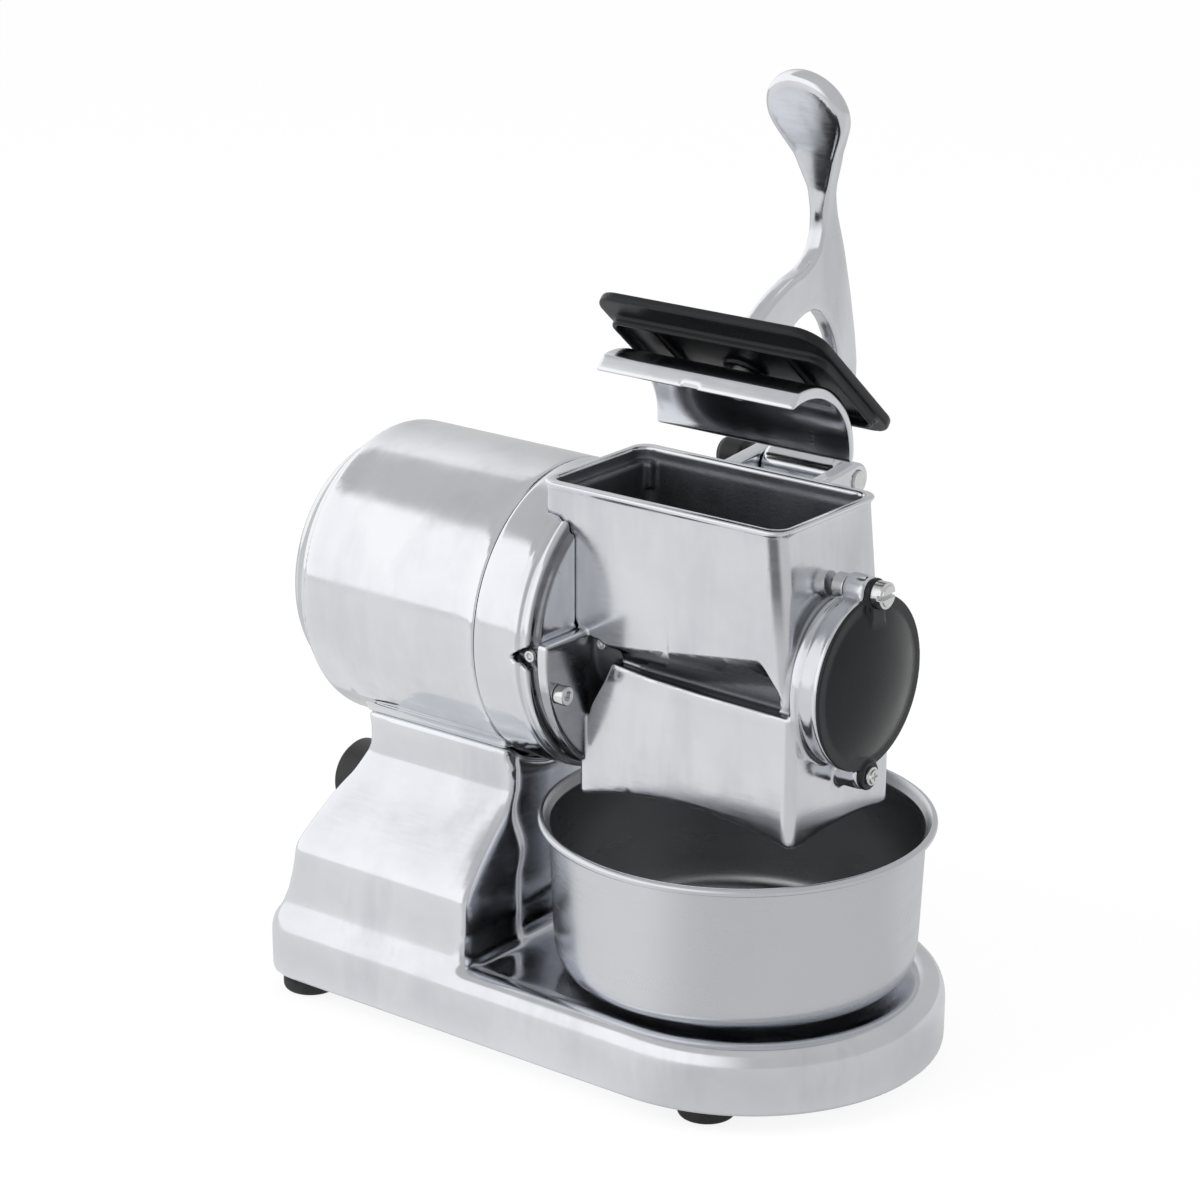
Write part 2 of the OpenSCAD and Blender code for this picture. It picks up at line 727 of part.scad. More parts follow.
module hopper_body() {
  x_in0 = mouth_x - mouth_len / 2;
  x_in1 = mouth_x + mouth_len / 2;
  color(cast_grey) placed()
  difference() {
    union() {
      difference() {
        union() {
          difference() {
            hopper_shell_outer();
            waist_cuts();
          }
          // Collar below the lip, a little longer than the funnel
          translate([0, 0, axis_h + mouth_z - collar_h])
            linear_extrude(collar_h) round_rect(x_in0 - 3, x_in1 + 2.2, hopper_half_w, 8);
          // Thin lip around the mouth
          translate([0, 0, axis_h + mouth_z - lip_t])
            linear_extrude(lip_t) round_rect(x_in0 - 4.6, x_in1 + 4.6, hopper_half_w + 1.5, 9);
          intersection() {
            chute_block(0, 10);
            translate([0, 0, axis_h - chute_drop])
              linear_extrude(chute_drop) round_rect(chute_back, chute_front, chute_half_w, 5);
          }
          // Drum chamber, its stepped front ring and the flange on the motor
          axle(flange_front - 2, chamber_front, tube_r);
          axle(119, chamber_front, chamber_r - 3.5);
          axle(127, 131.5, chamber_r - 0.5);
          axle(131, 134, chamber_r - 2);
          axle(133.2, 142.5, chamber_r - 0.4);
          axle(141.5, chamber_front, chamber_r + 0.8);
          intersection() {
            union() {
              axle(bell_front + 0.2, flange_front, 75);
              on_axis(flange_front - 1.7) rotate_extrude($fn = 128) translate([73.3, 0]) circle(r = 1.7);
            }
            translate([-20, -100, axis_h - 100]) cube([50, 200, 108]);
          }
          for (p = cap_ears)
            translate([lug_x, p[0], axis_h + p[1]])
              rotate([0, 90, 0]) cylinder(r = 8, h = chamber_front - lug_x);
        }
        hopper_ways();
      }
      // Tube around the coupling keeps the cheese away from it
      axle(bell_front + 0.2, drum_x0 - 4, coupling_bore + 3);
      hinge_ear(mouth_x - ear_gap / 2 - ear_t);
      hinge_ear(mouth_x + ear_gap / 2);
    }
    axle(-60, drum_x0, coupling_bore);
    // Arched lower edges
    translate([68, 60, axis_h - chute_drop - 231]) rotate([90, 0, 0]) cylinder(r = 240, h = 120, $fn = 192);
    translate([-20, 0, axis_h - chute_drop - 50]) rotate([0, 90, 0]) cylinder(r = 60, h = 200, $fn = 96);
    for (s = [-1, 1])
      translate([neck_screw_x, s * (tube_r - 5.5), axis_h + 1]) rotate([-90 * s, 0, 0]) {
        cylinder(r = 1.45, h = 12);
        translate([0, 0, 5.5]) cylinder(r = 3.1, h = 12);
      }
    // Room for the nut behind the upper lug
    translate([nut_x - 1, cap_ears[0][0], axis_h + cap_ears[0][1]])
      rotate([0, 90, 0]) cylinder(r = 7.2, h = lug_x - nut_x + 0.5);
    for (a = bolt_angles)
      around(bell_front - 1, bolt_pcr, a) cylinder(r = 3.2, h = 12);
    for (p = cap_ears)
      translate([lug_x - 1, p[0], axis_h + p[1]]) rotate([0, 90, 0]) cylinder(r = 2, h = 30);
  }
}

module hopper_bolts() {
  color(steel_grey) placed()
  for (a = bolt_angles)
    around(bell_front - 12, bolt_pcr, a) {
      cylinder(r = 2.5, h = flange_front - bell_front + 13);
      translate([0, 0, flange_front - bell_front + 12]) difference() {
        cylinder(r = 5, h = 6);
        translate([0, 0, 3]) cylinder(r = 2.5, h = 4, $fn = 6);
      }
    }
}

module end_cap() {
  color(black) placed()
  difference() {
    union() {
      on_axis(chamber_front) rotate_extrude($fn = 128) intersection() {
        union() {
          square([chamber_r + 0.6, 1.6]);
          translate([0, 9.5 - 98]) circle(r = 98, $fn = 256);
        }
        union() {
          square([chamber_r + 0.6, 1.6]);
          square([chamber_r - 2.5, 12]);
        }
      }
      axle(chamber_front - 4, chamber_front + 1, chamber_in_r - 0.1);
      axle(chamber_front - 5.4, chamber_front + 1, 13);
      for (p = cap_ears)
        translate([chamber_front, p[0], axis_h + p[1]]) rotate([0, 90, 0]) cylinder(r = 7.6, h = 3);
      // Rib from the upper ear onto the dome
      translate([chamber_front, 0, axis_h]) rotate([-atan(cap_ears[0][0] / cap_ears[0][1]), 0, 0])
        translate([0, -6, 30]) cube([4.5, 12, 12]);
    }
    sleeve(chamber_front - 8, chamber_front - 1, chamber_in_r - 3, 13);
    axle(chamber_front - 8, chamber_front + 2, 9);
    for (p = cap_ears)
      translate([chamber_front - 1, p[0], axis_h + p[1]]) rotate([0, 90, 0]) cylinder(r = 2.3, h = 9);
    translate([chamber_front + 3, cap_ears[0][0], axis_h + cap_ears[0][1]])
      rotate([0, 90, 0]) cylinder(r = 7.4, h = 6);
  }
}

module cap_top_screw() {
  color(steel_grey) placed()
  translate([nut_x + 0.5, cap_ears[0][0], axis_h + cap_ears[0][1]]) rotate([0, 90, 0]) difference() {
    head = chamber_front + 3 - nut_x - 0.5;
    union() {
      cylinder(r = 2, h = head + 2);
      translate([0, 0, head]) cylinder(r = 6.8, h = 6);
      translate([0, 0, head]) cylinder(r = 5.4, h = 7);
    }
    translate([-1, -8, head + 4]) cube([2, 16, 4]);
  }
}

module cap_top_nut() {
  color(steel_grey) placed()
  translate([nut_x, cap_ears[0][0], axis_h + cap_ears[0][1]]) rotate([0, 90, 0]) difference() {
    cylinder(r = 6.5, h = lug_x - nut_x - 0.6);
    translate([0, 0, -1]) cylinder(r = 2, h = 12);
  }
}

module cap_bottom_screw() {
  color(steel_grey) placed()
  translate([131, cap_ears[1][0], axis_h + cap_ears[1][1]]) rotate([0, 90, 0]) difference() {
    union() {
      cylinder(r = 2, h = 18);
      translate([0, 0, 16]) cylinder(r = 4.8, h = 1.6);
      translate([0, 0, 16]) cylinder(r = 3.6, h = 2.8);
    }
    translate([-0.5, -2.4, 17.4]) cube([1, 4.8, 2]);
    translate([-2.4, -0.5, 17.4]) cube([4.8, 1, 2]);
  }
}

// Small screws on both sides of the neck between the flange and the funnel.
module neck_screws() {
  color(steel_grey) placed()
  for (s = [-1, 1])
    translate([neck_screw_x, s * (tube_r - 5), axis_h + 1]) rotate([-90 * s, 0, 0]) difference() {
      union() {
        cylinder(r = 1.45, h = 6);
        translate([0, 0, 5]) cylinder(r = 2.8, h = 2.4);
      }
      translate([0, 0, 6]) cylinder(r = 1.4, h = 2, $fn = 6);
    }
}

module spindle_bush() {
  color([0.7, 0.55, 0.3]) placed() sleeve(chamber_front - 5.4, chamber_front + 2, 9, 6 + run_gap);
}

module hinge_pin() {
  x0 = mouth_x - ear_gap / 2 - ear_t - 9;
  x1 = mouth_x + ear_gap / 2 + ear_t;
  color(steel_grey) placed()
  translate([x0, hinge_y, hinge_z]) rotate([0, 90, 0]) {
    cylinder(r = hinge_pin_r, h = x1 - x0 + 1);
  }
}

module pin_end_grip() {
  x1 = mouth_x - ear_gap / 2 - ear_t;
  color(black) placed()
  translate([x1 - 20, hinge_y, hinge_z]) rotate([0, 90, 0]) difference() {
    rotate_extrude() union() {
      square([8, 20]);
      translate([0, 4]) square([10, 11]);
      translate([8, 4]) circle(r = 2);
      translate([8, 15]) circle(r = 2);
    }
    translate([0, 0, 11]) cylinder(r = hinge_pin_r, h = 12);
  }
}

module switch_body() {
  color(black) placed()
  translate(switch_at) rotate([0, 90, 0]) difference() {
    union() {
      cylinder(r = 20, h = 24);
      translate([0, 0, 24]) cylinder(r = 12, h = 12);
    }
    translate([0, 0, -1]) cylinder(r = 3.05, h = 20);
  }
}

// Round knob with a shallow dome and an index groove.
module switch_knob() {
  color(black) placed()
  translate([switch_at[0] - 0.4, switch_at[1], switch_at[2]]) rotate([0, -90, 0]) difference() {
    union() {
      rotate_extrude() intersection() {
        translate([0, 9 - 26.6]) circle(r = 26.6, $fn = 128);
        square([18.5, 12]);
      }
      translate([0, 0, -14]) cylinder(r = 3, h = 16);
    }
    translate([-0.8, 4, 6.2]) cube([1.6, 20, 6]);
  }
}

module cable_gland() {
  color(black) placed()
  translate([base_back - 7, 40, 30]) rotate([0, 90, 0]) difference() {
    union() {
      cylinder(r = 9, h = 7);
      translate([0, 0, 4]) cylinder(r = 10.5, h = 3, $fn = 6);
      cylinder(r = 8.1, h = 20);
    }
    translate([0, 0, -1]) cylinder(r = 4.5, h = 30);
  }
}

module motor_shaft() {
  color(steel_grey) placed()
  union() {
    axle(motor_back - 12, motor_back + 18, 6);
    axle(motor_back + 17.5, bearing_x, 11);
    axle(bearing_x - 1, bell_front + 3, shaft_r);
    axle(bell_front + 2, 6, 7.5);
  }
}

module rotor_core() {
  color([0.5, 0.51, 0.53]) placed()
  difference() {
    union() {
      axle(motor_back + 37, seam_x - 16.5, rotor_r);
      axle(motor_back + 30, seam_x - 11, 36);
    }
    axle(motor_back + 20, seam_x, 11);
    for (a = [0 : 24 : 336])
      around(motor_back + 24, 23, a) cylinder(r = 2, h = 100);
  }
}

module cooling_fan() {
  color(black) placed()
  difference() {
    union() {
      axle(motor_back - 13, motor_back - 1, 12);
      axle(motor_back - 4, motor_back - 2, 50);
      for (a = [0 : 45 : 315])
        on_axis(motor_back - 12) rotate([0, 0, a]) translate([10, -1, 0]) cube([40, 2, 9]);
    }
    axle(motor_back - 20, motor_back + 4, 6);
  }
}

module drive_coupling() {
  color(steel_grey) placed()
  difference() {
    union() {
      axle(bell_front + 4, 13, 14);
      translate([12, -4.8, axis_h - 12]) cube([5, 9.6, 24]);
    }
    axle(bell_front, 6, 7.5);
  }
}

module drum_spindle() {
  disc_r = drum_r - drum_skin;
  color(steel_grey) placed()
  difference() {
    union() {
      axle(drum_x0, chamber_front + 1, 6);
      for (x = [drum_x0 + 0.5, drum_x0 + drum_len - 3.5])
        axle(x, x + 3, disc_r);
      axle(drum_x0, drum_x0 + 9, 16);
      axle(drum_x0 + drum_len - 9, drum_x0 + drum_len - 1, 11);
    }
    translate([drum_x0 - 6, -5, axis_h - 12.5]) cube([8, 10, 25]);
  }
}

// The grating skin: every hole has a raised burr around it, and each row is turned by half a pitch.
module grating_drum() {
  color(steel_grey) placed()
  difference() {
    union() {
      axle(drum_x0, drum_x0 + drum_len, drum_r);
      for (i = [0 : tooth_rows - 1])
        for (j = [0 : teeth_around - 1])
          translate([drum_x0 + 7 + tooth_pitch * i, 0, axis_h])
            rotate([(j + (i % 2) / 2) * 360 / teeth_around, 0, 0])
              translate([0, 0, drum_r - 1])
                cylinder(r1 = tooth_hole_r + 1.6, r2 = tooth_hole_r + 0.5, h = tooth_h + 1, $fn = 16);
    }
    axle(drum_x0 - 1, drum_x0 + drum_len + 1, drum_r - drum_skin);
    for (i = [0 : tooth_rows - 1])
      for (j = [0 : teeth_around - 1])
        translate([drum_x0 + 7 + tooth_pitch * i, 0, axis_h])
          rotate([(j + (i % 2) / 2) * 360 / teeth_around, 0, 0])
            translate([0, 0, drum_r - 4]) cylinder(r = tooth_hole_r, h = 8, $fn = 16);
  }
}

// Everything on the lever is drawn closed, then swung open about the hinge.
module swung() {
  translate([0, hinge_y, hinge_z])
    rotate([-open_angle, 0, 0])
      translate([0, -hinge_y, -hinge_z]) children();
}

// Outline of the lever's web in the closed place, heights above the axis.
lever_outer = [[-20, 92], [-13.5, 96], [-11.6, 105], [-9, 115], [-5, 125], [0, 135], [5.5, 143],
  [8.6, 151], [8.6, 159], [5.5, 166], [0, 173], [-6, 181], [-12, 189], [-18, 196],
  [-16, 202], [-8, 197], [2, 188.5], [12, 181], [29, 171.5], [50, 157.5], [68.5, 144],
  [81, 133.5], [89.5, 123], [95, 111], [97.5, 98], [97.5, 84], [96, 74], [90, 60], [78, 62],
  [76, 72], [80, 86], [80.5, 98], [77, 110], [70, 120], [61, 127.6], [53, 131.5], [43.5, 134.6],
  [33.7, 135.4], [27, 132.6], [22.5, 127.6], [19, 121], [16.6, 113], [15.5, 104], [17, 96], [24, 92]];

// One disc of the grip at a place [y, height above the axis], tilted about X.
module grip_disc(at, tilt, r, h) {
  translate([mouth_x, at[0], axis_h + at[1]])
    rotate([tilt, 0, 0]) cylinder(r = r, h = h, center = true, $fn = 32);
}

module lever() {
  color(cast_grey) placed()
  swung() difference() {
    union() {
      translate([mouth_x - lever_t / 2, 0, axis_h])
        rotate([90, 0, 90]) linear_extrude(lever_t) polygon(lever_outer);
      translate([mouth_x - ear_gap / 2 + 0.3, hinge_y, hinge_z])
        rotate([0, 90, 0]) cylinder(r = knuckle_r, h = ear_gap - 0.6);
      // Foot of the pusher arm on the lid plate
      translate([mouth_x, 2, axis_h + plate_dz + plate_t]) cylinder(r = 17, h = 6);
      // Grip, a flat paddle that swells from the neck
      hull() {
        grip_disc([-42, 207.5], -24, grip_w / 2 - 2.5, 11);
        grip_disc([-42, 207.5], -24, grip_w / 2, 6);
        grip_disc([-24, 200], -30, 14, 10);
      }
      hull() {
        grip_disc([-24, 200], -30, 14, 10);
        grip_disc([-6, 187], -45, 7, 9);
      }
      hull() {
        grip_disc([-6, 187], -45, 7, 9);
        translate([mouth_x, 3, axis_h + 176]) sphere(r = 5.4, $fn = 32);
      }
    }
    translate([mouth_x - 40, hinge_y, hinge_z])
      rotate([0, 90, 0]) cylinder(r = hinge_pin_r + run_gap, h = 80);
    translate([mouth_x, 2, axis_h + plate_dz - 1]) cylinder(r = 4.1, h = 20);
  }
}

module pusher_plate() {
  z0 = axis_h + plate_dz;
  color(black) placed()
  swung() difference() {
    union() {
      translate([mouth_x, -2.5, z0])
        linear_extrude(plate_t) round_rect(-plate_len / 2, plate_len / 2, plate_w / 2, 14);
      // Stepped rim below, inside the mouth
      translate([mouth_x, 0, z0 - 4.5])
        linear_extrude(6) difference() {
          round_rect(-65, 65, 34.5, 8);
          round_rect(-62.5, 62.5, 32, 6);
        }
      translate([mouth_x, 2, z0 - 2.75]) cylinder(r = 12, h = 4);
      for (x = [-40, 40])
        translate([mouth_x + x - 1.2, -32, z0 - 3]) cube([2.4, 64, 4]);
    }
    translate([mouth_x, 2, z0 - 10]) cylinder(r = 4.1, h = 40);
  }
}

// Section of the curved foot: thick along the near lip, thin along the far edge.
module foot_section() {
  intersection() {
    difference() {
      translate([0, foot_top - foot_r]) circle(r = foot_r, $fn = 128);
      translate([2, foot_top - foot_r - 1.5]) circle(r = foot_r - 4, $fn = 128);
    }
    polygon([[-32.5, foot_top - 25], [0, foot_top - 25], [29, foot_top - 20.5], [33, foot_top - 20],
      [33, foot_top - 17], [30, foot_top + 2], [-32.5, foot_top + 2]]);
  }
}

module press_foot() {
  color(cast_grey) placed()
  swung() translate([mouth_x - foot_len / 2, 0, axis_h])
    difference() {
      union() {
        rotate([90, 0, 90]) linear_extrude(foot_len) foot_section();
        // Flat pads above and below for the post and its screw
        translate([foot_len / 2, 2, foot_pad]) cylinder(r = 6.5, h = 4);
        translate([foot_len / 2, 2, foot_top - 4]) cylinder(r = 9, h = 4.2);
      }
      translate([foot_len / 2, 2, foot_pad - 5]) cylinder(r = 2.6, h = 20);
      // Small notch in the near lip
      translate([foot_len * 0.44, -33.5, foot_top - 26]) cube([10, 2.4, 3.4]);
    }
}

module pusher_post() {
  z0 = foot_top + 0.25;
  color(steel_grey) placed()
  swung() translate([mouth_x, 2, axis_h])
    difference() {
      union() {
        translate([0, 0, z0]) cylinder(r = 8, h = plate_dz - 2.8 - z0);
        translate([0, 0, z0]) cylinder(r = 4, h = plate_dz + plate_t + 4 - z0);
      }
      translate([0, 0, z0 - 1]) cylinder(r = 2.55, h = 10);
    }
}

module pusher_screws() {
  color(steel_grey) placed()
  swung() translate([mouth_x, 2, axis_h + foot_pad - 2.65])
    difference() {
      union() {
        cylinder(r = 2.5, h = 17);
        cylinder(r = 5, h = 2.6);
      }
      translate([0, 0, -1]) cylinder(r = 1.5, h = 2.4, $fn = 6);
    }
}

module bowl_skin(inset) {
  h = bowl_h - 2;
  rotate_extrude($fn = 128) polygon([[0, inset], [bowl_floor_r, inset],
    [bowl_floor_r + 5 - inset * 0.5, 1 + inset * 0.9], [bowl_floor_r + 9 - inset * 0.8, 4 + inset * 0.7],
    [bowl_floor_r + 11.8 - inset, 8.5], [bowl_floor_r + 13.2 - inset, 14],
    [bowl_rim_r - 5.4 - inset, h - 6], [bowl_rim_r - 4.4 - inset, h - 2],
    [bowl_rim_r - 2.8 - inset, h + 3 * inset], [0, h + 3 * inset]]);
}

module bowl() {
  color(steel_grey) placed()
  translate([bowl_x, 0, base_top]) union() {
    difference() {
      bowl_skin(0);
      bowl_skin(bowl_t);
    }
    // Rolled rim
    translate([0, 0, bowl_h - 2.2]) rotate_extrude($fn = 128)
      translate([bowl_rim_r - 2.2, 0]) difference() {
        circle(r = 2.2);
        circle(r = 1.2);
      }
  }
}

base_casting();
bottom_plate();
bottom_plate_screws();
rubber_feet();
foot_screws();
motor_housing();
saddle_bolts();
rear_cover();
rear_cover_screws();
rear_bearing();
front_bearing();
stator_core();
stator_windings();
front_bell();
bell_screws();
hopper_body();
hopper_bolts();
neck_screws();
end_cap();
cap_top_screw();
cap_top_nut();
cap_bottom_screw();
spindle_bush();
hinge_pin();
pin_end_grip();
switch_body();
switch_knob();
cable_gland();
motor_shaft();
rotor_core();
cooling_fan();
drive_coupling();
drum_spindle();
grating_drum();
lever();
pusher_plate();
press_foot();
pusher_post();
pusher_screws();
bowl();
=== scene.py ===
import json
import math

import bpy
import numpy as np
import openvdb as vdb
from mathutils import Matrix, Vector


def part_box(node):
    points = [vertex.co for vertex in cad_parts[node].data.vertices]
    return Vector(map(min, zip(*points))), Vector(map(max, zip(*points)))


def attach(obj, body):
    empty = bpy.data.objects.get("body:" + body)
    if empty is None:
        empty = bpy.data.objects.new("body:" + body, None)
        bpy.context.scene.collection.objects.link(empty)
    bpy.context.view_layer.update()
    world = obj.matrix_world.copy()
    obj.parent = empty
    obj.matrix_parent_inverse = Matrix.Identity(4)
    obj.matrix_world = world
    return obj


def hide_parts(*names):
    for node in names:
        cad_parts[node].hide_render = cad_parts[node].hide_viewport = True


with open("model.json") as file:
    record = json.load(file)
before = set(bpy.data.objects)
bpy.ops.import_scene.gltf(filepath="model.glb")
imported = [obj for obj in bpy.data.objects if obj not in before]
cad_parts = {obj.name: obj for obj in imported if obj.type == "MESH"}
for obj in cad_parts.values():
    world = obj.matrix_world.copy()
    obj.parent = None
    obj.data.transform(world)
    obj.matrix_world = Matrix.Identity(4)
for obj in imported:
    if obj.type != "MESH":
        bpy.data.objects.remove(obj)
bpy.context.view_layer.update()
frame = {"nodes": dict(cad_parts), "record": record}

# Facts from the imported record
record = frame["record"]
body_of = {node: body for body, nodes in record["behaviour"]["bodies"].items() for node in nodes}
slot_of = {row["node"]: row["material_slot"] for row in record["subparts"]}
joint_of = {joint["name"]: joint for joint in record["behaviour"]["joints"]}

# The machine's axis, which the motor, the drum and the turned faces share
axis_y, axis_z = joint_of["drive_spin"]["pos_m"][1:]
machine_axis = (0.0, axis_y, axis_z)
MM = 0.001


# Camera at the photograph's viewing angle. Its place is in the drawing's coordinates, whose origin
# is on the table below the axis, and cad_shift leads from there to the frame's.
photo_size = 1200.0
photo_focal = 3638.12
photo_centre = (590.477, 595.697)
camera_place = Vector((1.06730, -1.39629, 0.82397))
cad_shift = Vector((joint_of["drive_spin"]["pos_m"][0], axis_y, 0.0))
axis_mm = (cad_shift.x / MM, axis_y / MM, axis_z / MM)
camera_right = Vector((0.78654, 0.61754, 0.00125))
camera_back = Vector((0.58477, -0.74546, 0.31990)).normalized()
camera_up = camera_back.cross(camera_right).normalized()
camera_right = camera_up.cross(camera_back)

camera_data = bpy.data.cameras.new("camera")
camera_data.sensor_width = 36.0
camera_data.lens = 36.0 * photo_focal / photo_size
camera_data.shift_x = (photo_size / 2 - photo_centre[0]) / photo_size
camera_data.shift_y = -(photo_size / 2 - photo_centre[1]) / photo_size
camera = bpy.data.objects.new("camera", camera_data)
bpy.context.scene.collection.objects.link(camera)
turned = Matrix((camera_right, camera_up, camera_back)).transposed().to_4x4()
camera.matrix_world = Matrix.Translation(camera_place + cad_shift) @ turned
bpy.context.scene.camera = camera


# Castings and mouldings: the CAD solid as a level set, its edges rounded as polishing rounds them

crease_reach = 2.2  # mm over which an edge or a fold counts as one


def blurred(field, sigma):
    """The field after a Gaussian blur of sigma cells along each axis."""
    if sigma < 0.2:
        return field
    reach = max(1, int(3 * sigma + 0.5))
    weights = np.exp(-0.5 * (np.arange(-reach, reach + 1) / sigma) ** 2).astype(np.float32)
    weights /= weights.sum()
    for axis in range(3):
        pad = [(reach, reach) if i == axis else (0, 0) for i in range(3)]
        wide = np.pad(field, pad, mode="edge")
        total = np.zeros_like(field)
        for i, weight in enumerate(weights):
            cut = [slice(None)] * 3
            cut[axis] = slice(i, i + field.shape[axis])
            total += weight * wide[tuple(cut)]
        field = total
    return field


def sampled(field, points):
    """The field's value at each point, given in cells from the field's first corner."""
    top = np.array(field.shape) - 1.001
    points = np.clip(points, 0, top)
    cell = points.astype(int)
    part = points - cell
    value = np.zeros(len(points))
    for corner in range(8):
        step = np.array([corner & 1, corner >> 1 & 1, corner >> 2 & 1])
        weight = np.prod(np.where(step, part, 1 - part), axis=1)
        i, j, k = (cell + step).T
        value += weight * field[i, j, k]
    return value


def slopes(field, points, step=0.6):
    """Unit normals of the field at the points."""
    normal = np.empty((len(points), 3))
    for axis in range(3):
        move = np.zeros(3)
        move[axis] = step
        normal[:, axis] = sampled(field, points + move) - sampled(field, points - move)
    size = np.linalg.norm(normal, axis=1, keepdims=True)
    return normal / np.maximum(size, 1e-9)


def node_points(node):
    """Corners, in mm, and triangles of a CAD node."""
    mesh = frame["nodes"][node].data
    mesh.calc_loop_triangles()
    points = np.empty(len(mesh.vertices) * 3, np.float32)
    mesh.vertices.foreach_get("co", points)
    corners = np.empty(len(mesh.loop_triangles) * 3, np.int32)
    mesh.loop_triangles.foreach_get("vertices", corners)
    return points.reshape(-1, 3) / MM, corners.reshape(-1, 3).astype(np.uint32)


def level_set(node, cell, reach):
    """(field in mm, first cell) of a CAD node. The field is below zero inside the solid."""
    points, corners = node_points(node)
    grid = vdb.FloatGrid.createLevelSetFromPolygons(
        points, triangles=corners, halfWidth=reach,
        transform=vdb.createLinearTransform(voxelSize=cell))
    low, high = grid.evalActiveVoxelBoundingBox()
    low = np.array(low) - 2
    field = np.empty(np.array(high) + 3 - low, np.float32)
    grid.copyToArray(field, ijk=tuple(int(v) for v in low))
    return field, low


def cell_places(field, low, cell):
    """Three thin arrays of the cells' x, y and z in mm, which broadcast over the field."""
    shape = [(-1, 1, 1), (1, -1, 1), (1, 1, -1)]
    return [((np.arange(field.shape[i]) + low[i]) * cell).reshape(shape[i]) for i in range(3)]


def zone_weight(places, zone):
    """1 inside the zone's box and 0 past its margin, in between a smooth change."""
    weight = 1.0
    for place, (start, end) in zip(places, zone["box"]):
        outside = np.maximum(start - place, place - end) / zone["margin"]
        weight = weight * (1 - np.clip(outside, 0, 1) ** 2 * (3 - 2 * np.clip(outside, 0, 1)))
    return weight.astype(np.float32)


def filled_above(field, places, level):
    """The casting with its hollow filled above a level: its walls then keep their place."""
    solid = np.minimum.accumulate(field[:, :, ::-1], axis=2)[:, :, ::-1]
    return np.minimum(field, np.maximum(solid, level - places[2]))


# Lower end, upper end and widening per side, in mm, of the pedestal's slope, the share of its
# ogee that is drawn straight, and the distance from the axis over which the change sets in
pedestal_slope = (83.0, 128.0, 39.5)
straight_share = 0.85
slope_start, slope_full = 12.0, 30.0


def with_straighter_sides(field, places, cell):
    """The pedestal's side slopes drawn straighter: each level moves in or out by up to 3.5 mm."""
    low, high, widening = pedestal_slope
    part = np.clip((high - places[2].ravel()) / (high - low), 0, 1)
    move = straight_share * widening * (part - (1 - np.cos(math.pi * part)) / 2)
    across = places[1].ravel() - axis_y / MM
    start_share = np.clip((np.abs(across) - slope_start) / (slope_full - slope_start), 0, 1)
    side = np.sign(across) * start_share
    out = field.copy()
    for k in np.nonzero(np.abs(move) > 0.01)[0]:
        at = np.clip(np.arange(len(across)) - side * move[k] / cell, 0, len(across) - 1.001)
        first = at.astype(int)
        share = (at - first).astype(np.float32)
        out[:, :, k] = field[:, first, k] * (1 - share) + field[:, first + 1, k] * share
    return out


def with_filled_edges(field, places, cell):
    """The hopper with its funnel's rear corners closed and a shallower arch in the chute's edge."""
    x, y, z = (place - centre for place, centre in zip(places, axis_mm))
    corner_side = np.abs(np.abs(y) - 36.5) - 5.2
    corner = np.maximum(np.abs(x + 18.5) - 5, np.maximum(corner_side, np.abs(z - 68) - 7))
    arch = np.sqrt(278.0 ** 2 - np.minimum(np.abs(y), 60) ** 2) - 354.5
    slab = np.maximum(np.abs(x - 128) - 2, np.abs(y) - 38.5)
    edge = np.maximum(slab, np.maximum(z + 66, arch - z))
    return np.minimum(field, np.minimum(corner, edge)).astype(np.float32)


def skin(node, cell, soft, zones=(), thin=0.01, fill=None, warp=None, masks=None):
    """A finished surface over a CAD node, rounded by soft mm, and by more in each zone.

    It is sampled in cells of cell mm, and thin lets flat stretches keep fewer corners. fill closes
    the hollow above a level, warp changes the field before it is rounded, and each rule in masks
    gives every corner a number from 0 to 1."""
    reach = 3 + 3 * max([soft] + [z["soft"] for z in zones]) / cell
    sharp, low = level_set(node, cell, reach)
    places = cell_places(sharp, low, cell)
    if fill is not None:
        sharp = filled_above(sharp, places, fill)
    if warp:
        sharp = warp(sharp, places, cell)
    field = blurred(sharp, soft / cell)
    for zone in zones:
        weight = zone_weight(places, zone)
        field = field * (1 - weight) + blurred(sharp, zone["soft"] / cell) * weight
    field = field.astype(np.float32)
    grid = vdb.FloatGrid(float(sharp.max()))
    grid.copyFromArray(field, ijk=tuple(int(v) for v in low))
    grid.transform = vdb.createLinearTransform(voxelSize=cell)
    points, triangles, quads = grid.convertToPolygons(isovalue=0.0, adaptivity=thin)
    places = points.astype(float) / cell - low
    for _ in range(2):
        places -= slopes(field, places) * (sampled(field, places) / cell)[:, None]
    normals = slopes(field, places)
    crease_blur = crease_reach / cell + 0.5
    crease = sampled(blurred(field, crease_blur), places) / (crease_reach + 0.5 * cell)
    mesh = bpy.data.meshes.new(node + "_skin")
    faces = [list(reversed(face)) for face in triangles.tolist() + quads.tolist()]
    mesh.from_pydata(((places + low) * cell * MM).tolist(), [], faces)
    check = mesh.polygons[0]
    side = Vector(normals[check.vertices[0]]).dot(check.normal)
    if side < 0:
        mesh.flip_normals()
    mesh.polygons.foreach_set("use_smooth", [True] * len(mesh.polygons))
    mesh.normals_split_custom_set_from_vertices(normals.tolist())
    layer = mesh.attributes.new("crease", "FLOAT", "POINT")
    layer.data.foreach_set("value", crease.astype(np.float32))
    for mask, rule in (masks or {}).items():
        layer = mesh.attributes.new(mask, "FLOAT", "POINT")
        layer.data.foreach_set("value", rule((places + low) * cell, normals).astype(np.float32))
    return finish_piece(mesh, node)


